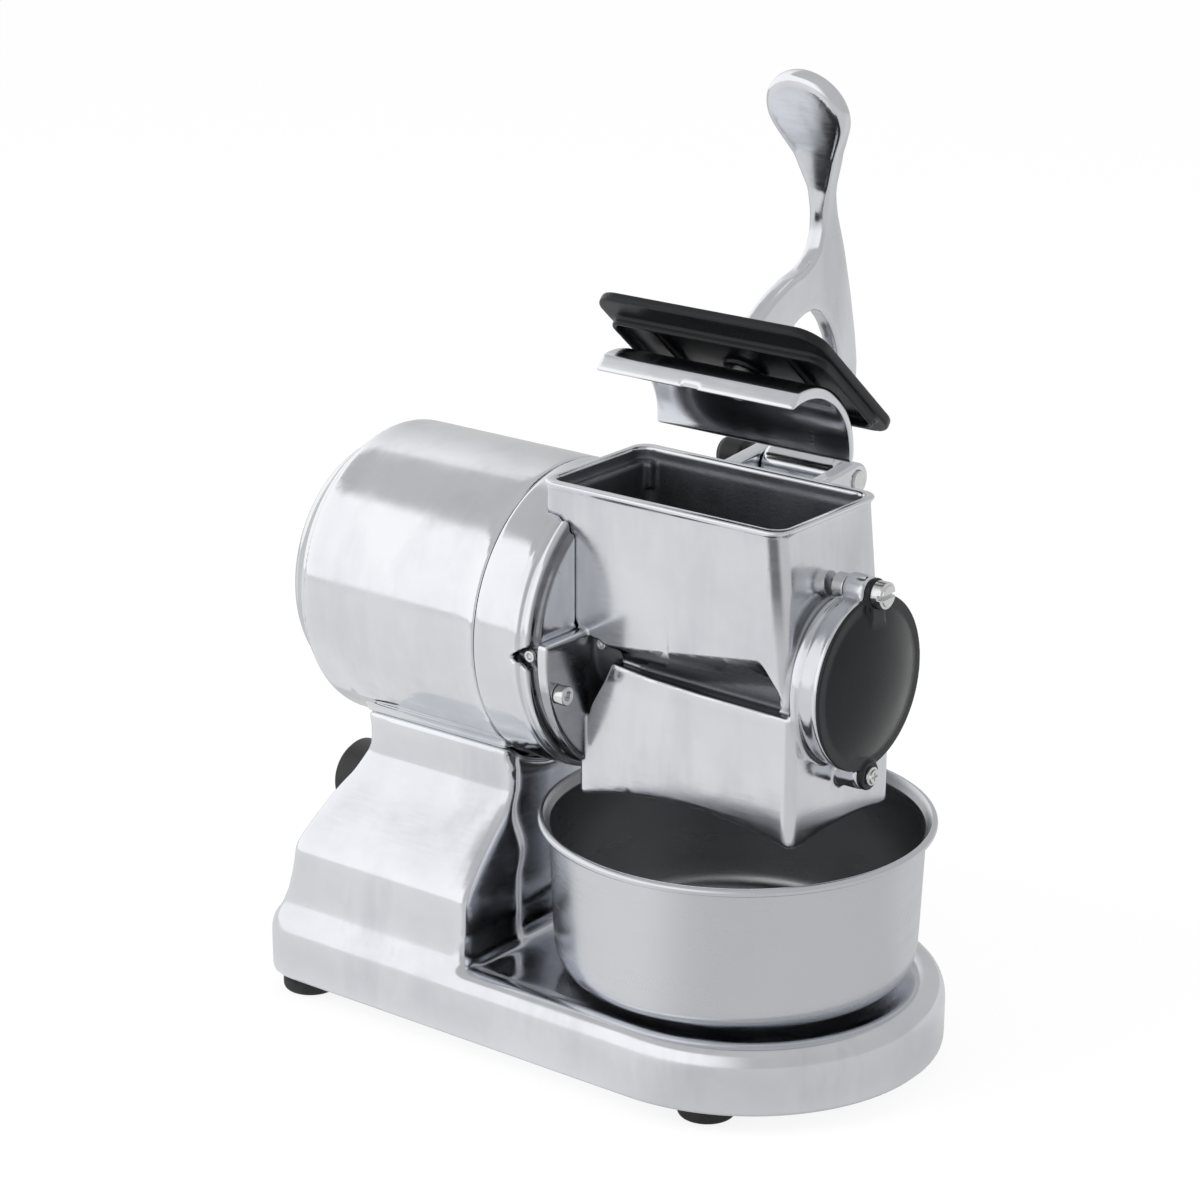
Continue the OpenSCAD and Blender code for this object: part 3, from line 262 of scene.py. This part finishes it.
def finish_piece(mesh, node):
    """Links a mesh as a piece that stands for its CAD node and moves with the node's body."""
    piece = bpy.data.objects.new(mesh.name, mesh)
    bpy.context.scene.collection.objects.link(piece)
    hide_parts(node)
    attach(piece, body_of[node])
    return piece


def lathe(name, node, centre, profile, inner_from, around=192):
    """A surface turned about the vertical through centre, from a closed line of (radius, height).

    The line is in mm. From its point inner_from on, the surface has 1 in the mask inner."""
    turns = np.arange(around) * 2 * math.pi / around
    points, faces, rings = [], [], []
    for radius, height in profile:
        if radius < 1e-6:
            rings.append([len(points)] * around)
            points.append((centre[0], centre[1], centre[2] + height * MM))
            continue
        rings.append(list(range(len(points), len(points) + around)))
        for turn in turns:
            points.append((centre[0] + radius * MM * math.cos(turn),
                           centre[1] + radius * MM * math.sin(turn), centre[2] + height * MM))
    for ring, after in zip(rings, rings[1:]):
        for i in range(around):
            corners = [ring[i], ring[(i + 1) % around], after[(i + 1) % around], after[i]]
            faces.append(list(dict.fromkeys(corners)))
    mesh = bpy.data.meshes.new(name)
    mesh.from_pydata(points, [], faces)
    mesh.polygons.foreach_set("use_smooth", [True] * len(mesh.polygons))
    mesh.set_sharp_from_angle(angle=math.radians(38))
    layer = mesh.attributes.new("inner", "FLOAT", "POINT")
    first_inner = next(v for ring in rings[inner_from:] for v in ring)
    layer.data.foreach_set("value", (np.arange(len(points)) >= first_inner).astype(np.float32))
    return finish_piece(mesh, node)


# Materials

class Nodes:
    """Short ways to add nodes to a shader tree."""

    def __init__(self, owner, place):
        owner.use_nodes = True
        self.tree = owner.node_tree
        self.tree.nodes.clear()
        self.place = self.node("ShaderNodeTexCoord").outputs[place]

    def node(self, kind):
        return self.tree.nodes.new(kind)

    def join(self, start, end):
        self.tree.links.new(start, end)

    def feed(self, socket, value):
        if isinstance(value, (int, float)):
            socket.default_value = value
        elif isinstance(value, tuple):
            socket.default_value = value if len(value) == len(socket.default_value) else (*value, 1)
        else:
            self.join(value, socket)

    def math(self, kind, first, second=0.0, limit=False):
        node = self.node("ShaderNodeMath")
        node.operation = kind
        node.use_clamp = limit
        self.feed(node.inputs[0], first)
        self.feed(node.inputs[1], second)
        return node.outputs[0]

    def scaled(self, factors, place=None):
        node = self.node("ShaderNodeVectorMath")
        node.operation = "MULTIPLY"
        self.join(place or self.place, node.inputs[0])
        node.inputs[1].default_value = factors
        return node.outputs[0]

    def about(self, kind, centre):
        """(along, radius, angle) about a line through centre, along x or z."""
        shift = self.node("ShaderNodeVectorMath")
        shift.operation = "SUBTRACT"
        self.join(self.place, shift.inputs[0])
        shift.inputs[1].default_value = centre
        parts = self.node("ShaderNodeSeparateXYZ")
        self.join(shift.outputs[0], parts.inputs[0])
        x, y, z = parts.outputs
        along, u, v = (x, y, z) if kind == "x" else (z, x, y)
        square = self.math("ADD", self.math("MULTIPLY", u, u), self.math("MULTIPLY", v, v))
        radius = self.math("SQRT", square)
        angle = self.math("ARCTAN2", v, u)
        join = self.node("ShaderNodeCombineXYZ")
        for value, socket in zip((along, radius, angle), join.inputs):
            self.join(value, socket)
        return join.outputs[0]

    def noise(self, scale, detail=3.0, rough=0.55, place=None):
        node = self.node("ShaderNodeTexNoise")
        self.join(place or self.place, node.inputs["Vector"])
        node.inputs["Scale"].default_value = scale
        node.inputs["Detail"].default_value = detail
        node.inputs["Roughness"].default_value = rough
        return node.outputs["Fac"]

    def spread(self, value, low, high, to_low, to_high, smooth=False):
        node = self.node("ShaderNodeMapRange")
        node.interpolation_type = "SMOOTHSTEP" if smooth else "LINEAR"
        self.join(value, node.inputs[0])
        for socket, number in zip(node.inputs[1:5], (low, high, to_low, to_high)):
            socket.default_value = number
        return node.outputs[0]

    def attribute(self, name):
        node = self.node("ShaderNodeAttribute")
        node.attribute_name = name
        return node.outputs["Fac"]

    def mixed(self, share, first, second):
        node = self.node("ShaderNodeMix")
        node.data_type = "RGBA"
        self.feed(node.inputs[0], share)
        self.feed(node.inputs[6], first)
        self.feed(node.inputs[7], second)
        return node.outputs[2]

    def dot(self, place, direction):
        node = self.node("ShaderNodeVectorMath")
        node.operation = "DOT_PRODUCT"
        self.join(place, node.inputs[0])
        node.inputs[1].default_value = direction
        return node.outputs["Value"]


class Finish(Nodes):
    """Builds one node material on Blender's own shader."""

    def __init__(self, name, colour, metallic=0.0, roughness=0.4):
        self.material = bpy.data.materials.new(name)
        super().__init__(self.material, "Object")
        self.shader = self.node("ShaderNodeBsdfPrincipled")
        output = self.node("ShaderNodeOutputMaterial")
        self.join(self.shader.outputs[0], output.inputs[0])
        self.shader.inputs["Base Color"].default_value = (*colour, 1)
        self.shader.inputs["Metallic"].default_value = metallic
        self.shader.inputs["Roughness"].default_value = roughness
        self.normal = None

    def bump(self, height, strength, distance):
        node = self.node("ShaderNodeBump")
        node.inputs["Strength"].default_value = strength
        node.inputs["Distance"].default_value = distance
        self.join(height, node.inputs["Height"])
        if self.normal:
            self.join(self.normal, node.inputs["Normal"])
        self.normal = node.outputs[0]
        self.join(self.normal, self.shader.inputs["Normal"])

    def colour(self, value):
        self.join(value, self.shader.inputs["Base Color"])

    def roughness(self, value):
        self.join(value, self.shader.inputs["Roughness"])


def streaks(finish, place, fine, coarse):
    """Brush lines: fine ones across the first two numbers of place and long along the third."""
    first = finish.noise(1.0, 4.0, 0.6, finish.scaled((fine, fine, 1.6), place))
    second = finish.noise(1.0, 3.0, 0.5, finish.scaled((coarse, coarse, 0.7), place))
    return finish.math("MULTIPLY", first, second)


def cast_aluminium(name, tint=(0.785, 0.80, 0.835), turned_about=None):
    """Polished casting: wavy reflections, buffing lines, painted shade in its folds and painted
    highlights on its edges.

    Where the mask inner is 1 the skin is rough as from the mould, and dark partly as painted shade;
    where shade is 1 it carries painted shade and painted dark reflections."""
    f = Finish(name, tint, 1.0, 0.2)
    crease = f.attribute("crease")
    inner = f.attribute("inner")
    cloud = f.noise(14.0, 4.0, 0.6)
    patch = f.noise(48.0, 3.0, 0.6)
    # crease is below zero in folds and above zero on edges: the folds get painted shade, the edges
    # a painted highlight
    fold = f.spread(crease, -0.30, 0.02, 1.0, 0.0)
    edge = f.spread(crease, 0.10, 0.40, 0.0, 1.0)
    wipe = f.noise(1.0, 4.0, 0.6, f.scaled((26.0, 26.0, 7.0)))
    grey = f.mixed(f.spread(cloud, 0.38, 0.62, 0.0, 1.0), (0.70, 0.715, 0.752), tint)
    grey = f.mixed(f.spread(wipe, 0.50, 0.68, 0.0, 0.55), grey, (0.60, 0.615, 0.655))
    # Painted shade darkens the folds, then a painted highlight lightens the edges
    dark = f.mixed(f.math("MULTIPLY", fold, 0.7), grey, (0.235, 0.245, 0.262))
    edge_lit = f.mixed(f.math("MULTIPLY", edge, 0.5), dark, (0.90, 0.915, 0.94))
    # The inside's rough mould grey, made darker than the metal is as painted shade
    mould_grey_and_shade = f.mixed(f.noise(30.0, 5.0, 0.7), (0.12, 0.126, 0.142), (0.29, 0.30, 0.325))
    outer = f.mixed(inner, edge_lit, mould_grey_and_shade)
    # Where shade is 1: painted shade and painted dark reflections, in streaks
    smear = f.noise(1.0, 3.0, 0.5, f.scaled((14.0, 40.0, 160.0)))
    painted_shade_colour = f.mixed(f.spread(smear, 0.35, 0.7, 0.0, 1.0),
                      (0.070, 0.074, 0.082), (0.15, 0.156, 0.168))
    f.colour(f.mixed(f.attribute("shade"), outer, painted_shade_colour))
    if turned_about:
        lines = streaks(f, f.about("x", turned_about), 900.0, 160.0)
    else:
        lines = f.noise(1.0, 4.0, 0.65, f.scaled((60.0, 60.0, 900.0)))
    base = f.spread(patch, 0.3, 0.7, 0.10, 0.17)
    base = f.math("ADD", base, f.spread(lines, 0.2, 0.6, -0.03, 0.06))
    base = f.math("ADD", base, f.spread(wipe, 0.45, 0.7, -0.02, 0.07))
    base = f.math("ADD", base, f.math("MULTIPLY", fold, 0.16))
    f.roughness(f.math("ADD", base, f.math("MULTIPLY", inner, 0.34), limit=True))
    f.bump(f.noise(22.0, 2.0, 0.4), 0.34, 0.0007)
    f.bump(lines, 0.10, 0.00012)
    f.bump(f.math("MULTIPLY", f.noise(700.0, 3.0, 0.6), inner), 0.5, 0.0003)
    return f.material


def satin_steel(name, kind, centre, tint=(0.70, 0.70, 0.705)):
    """Spun sheet: fine rings, soft bands, a stretched highlight and painted shade on its inside."""
    f = Finish(name, tint, 1.0, 0.28)
    place = f.about(kind, centre)
    lines = streaks(f, place, 1500.0, 260.0)
    inner = f.attribute("inner")
    outside = f.mixed(f.noise(9.0, 3.0), (0.66, 0.673, 0.705), (0.76, 0.773, 0.805))
    # The inside is the same sheet, coloured darker as painted shade and painted dark reflections
    inside = f.mixed(f.noise(9.0, 3.0), (0.40, 0.405, 0.42), (0.50, 0.505, 0.52))
    f.colour(f.mixed(inner, outside, inside))
    base = f.math("ADD", f.spread(lines, 0.1, 0.5, 0.20, 0.30),
                  f.spread(f.noise(30.0), 0.3, 0.7, -0.02, 0.03))
    f.roughness(f.math("ADD", base, f.math("MULTIPLY", inner, 0.06)))
    f.bump(lines, 0.13, 0.00012)
    f.shader.inputs["Anisotropic"].default_value = 0.55
    tangent = f.node("ShaderNodeTangent")
    tangent.direction_type = "RADIAL"
    tangent.axis = kind.upper()
    f.join(tangent.outputs[0], f.shader.inputs["Tangent"])
    return f.material


def bright_steel(name):
    f = Finish(name, (0.80, 0.80, 0.81), 1.0, 0.2)
    f.colour(f.mixed(f.noise(300.0, 3.0), (0.70, 0.705, 0.71), (0.86, 0.86, 0.865)))
    f.roughness(f.spread(f.noise(500.0, 4.0), 0.3, 0.7, 0.14, 0.28))
    f.bump(f.noise(900.0, 3.0), 0.15, 0.0001)
    return f.material


def black_plastic(name, low=0.34, high=0.46, grain=1400.0,
                  dark=(0.013, 0.013, 0.015), pale=(0.028, 0.028, 0.031), shine=0.5):
    f = Finish(name, pale, 0.0, 0.4)
    f.shader.inputs["Specular IOR Level"].default_value = shine
    f.colour(f.mixed(f.noise(20.0, 3.0), dark, pale))
    f.roughness(f.spread(f.noise(60.0, 4.0), 0.3, 0.7, low, high))
    f.bump(f.noise(grain, 2.0, 0.5), 0.25, 0.00012)
    return f.material


def black_rubber(name):
    f = Finish(name, (0.018, 0.018, 0.018), 0.0, 0.7)
    f.colour(f.mixed(f.noise(40.0, 3.0), (0.012, 0.012, 0.012), (0.03, 0.03, 0.03)))
    f.roughness(f.spread(f.noise(120.0, 3.0), 0.3, 0.7, 0.6, 0.8))
    f.bump(f.noise(1600.0, 2.0), 0.4, 0.0002)
    return f.material


def laminated_steel(name):
    f = Finish(name, (0.4, 0.41, 0.43), 1.0, 0.42)
    wave = f.node("ShaderNodeTexWave")
    wave.wave_type = "BANDS"
    wave.bands_direction = "X"
    wave.inputs["Scale"].default_value = 320.0
    wave.inputs["Distortion"].default_value = 0.4
    f.join(f.place, wave.inputs["Vector"])
    f.colour(f.mixed(wave.outputs["Fac"], (0.28, 0.285, 0.30), (0.52, 0.53, 0.54)))
    f.roughness(f.spread(f.noise(90.0), 0.3, 0.7, 0.35, 0.5))
    f.bump(wave.outputs["Fac"], 0.4, 0.0003)
    return f.material


def copper_winding(name):
    f = Finish(name, (0.62, 0.30, 0.13), 0.9, 0.32)
    place = f.about("x", machine_axis)
    wires = f.noise(1.0, 2.0, 0.5, f.scaled((900.0, 900.0, 3.0), place))
    f.colour(f.mixed(wires, (0.30, 0.12, 0.05), (0.72, 0.36, 0.17)))
    f.roughness(f.spread(wires, 0.2, 0.8, 0.45, 0.25))
    f.bump(wires, 0.8, 0.0008)
    return f.material


def bronze(name):
    f = Finish(name, (0.60, 0.44, 0.22), 1.0, 0.36)
    f.colour(f.mixed(f.noise(260.0, 4.0), (0.48, 0.34, 0.16), (0.66, 0.50, 0.27)))
    f.roughness(f.spread(f.noise(500.0), 0.3, 0.7, 0.28, 0.45))
    f.bump(f.noise(1200.0), 0.3, 0.0001)
    return f.material


bowl_low, bowl_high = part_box("bowl")
bowl_centre = ((bowl_low.x + bowl_high.x) / 2, (bowl_low.y + bowl_high.y) / 2, bowl_low.z)

casting = cast_aluminium("cast_aluminium")
turned_casting = cast_aluminium("turned_aluminium", turned_about=machine_axis)
sheet_steel = satin_steel("satin_steel_spun", "z", bowl_centre)
plain_steel = satin_steel("satin_steel_turned", "x", machine_axis)
fastener = bright_steel("bright_steel")
moulding = black_plastic("black_moulding")
cap_black = black_plastic("black_cap", 0.20, 0.30, 1800.0,
                          (0.008, 0.009, 0.011), (0.016, 0.018, 0.021), 0.34)
plate_black = black_plastic("black_plate", 0.26, 0.36, 1200.0,
                            (0.006, 0.0065, 0.008), (0.014, 0.015, 0.018), 0.34)
rubber = black_rubber("black_rubber")
laminations = laminated_steel("laminated_steel")
windings = copper_winding("copper_winding")
bush_metal = bronze("bronze")

by_slot = {
    "cast_aluminium": casting, "satin_steel": plain_steel, "bright_steel": fastener,
    "black_plastic": moulding, "black_rubber": rubber, "laminated_steel": laminations,
    "copper_winding": windings, "bronze": bush_metal,
}


def dress(piece, material):
    piece.data.materials.clear()
    piece.data.materials.append(material)


# Nodes that keep their CAD shape
for node, piece in frame["nodes"].items():
    dress(piece, by_slot[slot_of[node]])

# Masks of the castings: places in mm, and the numbers below are mm from the machine's axis


def hopper_inside(places, normals):
    """1 on the walls that the cheese touches."""
    x, y, z = (places - axis_mm).T
    funnel = (np.abs(y) < 38.6) & (x > -25) & (x < 117.2) & (z < 80.6) & (z > -20)
    chute = (np.abs(y) < 41) & (x > 0) & (x < 127) & (z <= -12)
    return (funnel | chute).astype(float) * (np.abs(normals[:, 2]) < 0.995)


def ramp(value, start, end):
    """0 up to start, 1 from end on, smooth in between."""
    share = np.clip((value - start) / (end - start), 0, 1)
    return share * share * (3 - 2 * share)


def hopper_shade(places, normals):
    """1 in the recess below the funnel and less on the flange, as painted shade, and a painted dark
    reflection down the front corners.
    """
    x, y, z = (places - axis_mm).T
    height = ramp(z, -46, -40) * ramp(-z, -34, -22)
    # painted shade on the recess below the funnel and on the shelf under it
    waist = ramp(-normals[:, 2], 0.14, 0.26) * height * (np.abs(y) > 25) * ramp(-x, -121, -116)
    shelf = ramp(normals[:, 2], 0.35, 0.8) * ramp(z, -17, -15) * ramp(-z, -2, 0)
    shelf = shelf * (np.abs(y) > 22) * (x < 126)
    # painted dark reflection down the mouth's front corners, and painted shade on the flange face
    corner = 0.8 * ramp(normals[:, 0], 0.05, 0.30) * ramp(-normals[:, 1], 0.55, 0.80)
    corner = corner * ramp(z, 18, 60) * (x > 100) * ramp(-z, -82, -77)
    flange = 0.5 * ramp(normals[:, 0], 0.6, 0.95) * (x < 9) * (x > -3)
    # less painted shade towards the neck
    neck = 1 - 0.5 * ramp(-x, -24, -10)
    return np.maximum(np.maximum(waist, shelf) * neck, np.maximum(flange, corner))


def bell_shade(places, normals):
    """Painted shade and painted dark reflections inside the bell's rim: all of it below the axis,
    and above it only the rings.
    """
    x, y, z = (places - axis_mm).T
    radius = np.hypot(y, z)
    within = 0.8 * ramp(-radius, -77.2, -75.0)
    return within * np.maximum(ramp(radius, 69.5, 71.5), ramp(-z, -10, -2))


base_top = 46.0
base_hollow_top = 19.0
fold_at_base = {"box": ((-190, 200), (-120, 100), (base_top - 6, base_top + 12)),
                "margin": 8, "soft": 3.2}
round_slope = {"box": ((-190, -20), (-120, 100), (base_top + 20, 142)),
               "margin": 10, "soft": 3.0}
dress(skin("base_casting", 1.3, 1.6, zones=[fold_at_base, round_slope], thin=0.003,
           fill=base_hollow_top, warp=with_straighter_sides), casting)
dress(skin("motor_housing", 1.1, 1.2, thin=0.004), turned_casting)
dress(skin("rear_cover", 1.0, 1.2, thin=0.004), turned_casting)
dress(skin("front_bell", 0.7, 0.8, thin=0.003, masks={"shade": bell_shade}), turned_casting)
dress(skin("hopper_body", 0.75, 0.95, thin=0.006, warp=with_filled_edges,
           masks={"inner": hopper_inside, "shade": hopper_shade}), casting)
dress(skin("lever", 0.8, 1.5, thin=0.004), casting)
dress(skin("press_foot", 0.6, 0.7, thin=0.004), casting)

# Mouldings, rubber and fasteners: node, cell and rounding in mm, material
small_pieces = [
    ("pusher_plate", 0.8, 0.6, plate_black),
    ("end_cap", 0.7, 0.4, cap_black),
    ("pin_end_grip", 0.5, 0.4, moulding),
    ("switch_knob", 0.6, 0.5, moulding),
    ("rubber_feet", 0.7, 0.5, rubber),
    ("cap_top_screw", 0.25, 0.2, fastener),
    ("cap_top_nut", 0.25, 0.2, fastener),
    ("cap_bottom_screw", 0.25, 0.15, fastener),
    ("hopper_bolts", 0.35, 0.25, fastener),
    ("neck_screws", 0.25, 0.15, fastener),
    ("bell_screws", 0.3, 0.2, fastener),
]
for node, cell, soft, material in small_pieces:
    dress(skin(node, cell, soft), material)

# Bowl: spun sheet with a rolled rim
bowl_height = (bowl_high.z - bowl_low.z) / MM
bowl_radius = (bowl_high.x - bowl_low.x) / 2 / MM


def smooth_line(points, steps=6):
    """Points on a Catmull-Rom curve through the given ones."""
    ends = [points[0]] + list(points) + [points[-1]]
    line = []
    for a, b, c, d in zip(ends, ends[1:], ends[2:], ends[3:]):
        a, b, c, d = map(np.array, (a, b, c, d))
        for t in np.arange(steps) / steps:
            line.append(tuple(0.5 * (2 * b + (c - a) * t + (2 * a - 5 * b + 4 * c - d) * t * t
                                     + (3 * b - a - 3 * c + d) * t ** 3)))
    return line + [points[-1]]


def bowl_profile(sheet=1.0, rim=2.2):
    """(profile, index where its inside begins)"""
    wall = [(80.0, 0.0), (85.0, 1.2), (89.0, 4.2), (91.7, 8.7), (93.1, 14.5), (93.8, 24.0),
            (94.8, 48.0), (96.0, bowl_height - 9), (96.9, bowl_height - 4.5)]
    outer = [(0.0, 0.0), (40.0, 0.0), (72.0, 0.0)] + smooth_line(wall)
    centre = (bowl_radius - rim, bowl_height - rim)
    roll = [(centre[0] + rim * math.cos(t), centre[1] + rim * math.sin(t))
            for t in np.radians(np.arange(-150, 120, 15))]
    inner = [(r - sheet, max(h, 0.0) + sheet * (0.3 if h > 3 else 1.0))
             for r, h in reversed(outer[3:])]
    ring = sheet + 0.5
    floor = [(60.0, sheet), (59.0, ring), (58.0, ring), (57.0, sheet), (40.0, sheet), (0.0, sheet)]
    return outer + roll + [(97.0, bowl_height - 2.2)] + inner[1:] + floor, len(outer) + len(roll)


bowl_line, bowl_inner = bowl_profile()
dress(lathe("bowl_sheet", "bowl", bowl_centre, bowl_line, bowl_inner), sheet_steel)


# Studio: pale floor, white surroundings for the camera, soft panels in what the metal reflects

def any_of(tree, sockets):
    """Largest of the sockets."""
    total = sockets[0]
    for socket in sockets[1:]:
        total = tree.math("MAXIMUM", total, socket)
    return total


def ray_kinds(tree):
    """(is a camera ray, is a mirrored or refracted ray)"""
    path = tree.node("ShaderNodeLightPath").outputs
    return path["Is Camera Ray"], any_of(tree, [path["Is Glossy Ray"], path["Is Transmission Ray"]])


def emission(tree, kind, strength):
    node = tree.node(kind)
    node.inputs[0].default_value = (1, 1, 1, 1)
    tree.feed(node.inputs[1], strength)
    return node.outputs[0]


# Brightness of the room: what metal sees of the walls away from the window and towards it, of
# the ceiling and of the floor, what lights matt surfaces, and the white that the camera sees
wall_glow = (0.55, 1.12)
ceiling_glow = 0.56
floor_glow = 0.60
room_light = 0.62
white = 1.0
floor_white = 1.10
floor_glow_share = 0.78  # the rest of the floor's look is light from lamps and room, with shadows

world = bpy.data.worlds.new("studio")
bpy.context.scene.world = world
sky = Nodes(world, "Generated")
height = sky.dot(sky.place, (0, 0, 1))
panel_side = sky.dot(sky.place, (-0.80, -0.60, 0))
walls = sky.spread(panel_side, -0.10, 0.45, *wall_glow, smooth=True)
ceiling = sky.spread(height, 0.68, 0.74, 0.0, 1.0, smooth=True)
room = sky.math("ADD", sky.math("MULTIPLY", walls, sky.math("SUBTRACT", 1.0, ceiling)),
                sky.math("MULTIPLY", ceiling, ceiling_glow))
direct, mirror = ray_kinds(sky)
plain = sky.spread(direct, 0, 1, room_light, white)
strength = sky.math("ADD", sky.math("MULTIPLY", mirror, room),
                    sky.math("MULTIPLY", sky.math("SUBTRACT", 1.0, mirror), plain))
backdrop = emission(sky, "ShaderNodeBackground", strength)
sky.join(backdrop, sky.node("ShaderNodeOutputWorld").inputs[0])

floor_mesh = bpy.data.meshes.new("floor")
half = 4.0
corners = [(-half, -half, 0), (half, -half, 0), (half, half, 0), (-half, half, 0)]
floor_mesh.from_pydata(corners, [], [(0, 1, 2, 3)])
floor = bpy.data.objects.new("floor", floor_mesh)
bpy.context.scene.collection.objects.link(floor)
floor_material = bpy.data.materials.new("pale_floor")
ground = Nodes(floor_material, "Object")
paint = ground.node("ShaderNodeBsdfDiffuse")
paint.inputs[0].default_value = (0.93, 0.93, 0.93, 1)
direct, mirror = ray_kinds(ground)

# The glow changes with the angle around the bowl, in which it shows
around_bowl = ground.node("ShaderNodeSeparateXYZ")
ground.join(ground.about("z", bowl_centre), around_bowl.inputs[0])
turn = around_bowl.outputs[2]
left_share = ground.spread(turn, -1.85, -1.25, 0.24, 0.0, smooth=True)
front_share = ground.math("MULTIPLY", ground.spread(turn, 0.55, 0.95, 0.0, 0.12, smooth=True),
                          ground.spread(turn, 1.35, 1.75, 1.0, 0.0, smooth=True))
side = ground.math("ADD", ground.math("ADD", left_share, front_share), floor_glow)
seen = any_of(ground, [direct, mirror])
glow = ground.math("ADD", ground.math("MULTIPLY", mirror, side),
                   ground.math("MULTIPLY", direct, floor_white))
mix = ground.node("ShaderNodeMixShader")
ground.join(ground.math("MULTIPLY", seen, floor_glow_share), mix.inputs[0])
ground.join(paint.outputs[0], mix.inputs[1])
ground.join(emission(ground, "ShaderNodeEmission", glow), mix.inputs[2])
ground.join(mix.outputs[0], ground.node("ShaderNodeOutputMaterial").inputs[0])
floor_mesh.materials.append(floor_material)


def lamp(name, place, aim, size, power):
    data = bpy.data.lights.new(name, "AREA")
    data.shape = "RECTANGLE"
    data.size, data.size_y = size
    data.energy = power
    light = bpy.data.objects.new(name, data)
    bpy.context.scene.collection.objects.link(light)
    light.location = place
    light.rotation_euler = (Vector(aim) - Vector(place)).to_track_quat("-Z", "Y").to_euler()
    light.visible_glossy = False


lamp("key", (-0.9, -1.6, 1.9), (0, 0, 0.2), (1.2, 1.2), 16.0)
lamp("fill", (2.0, 0.4, 1.3), (0, 0, 0.2), (1.0, 1.4), 7.0)

bpy.context.scene.view_settings.view_transform = "Standard"
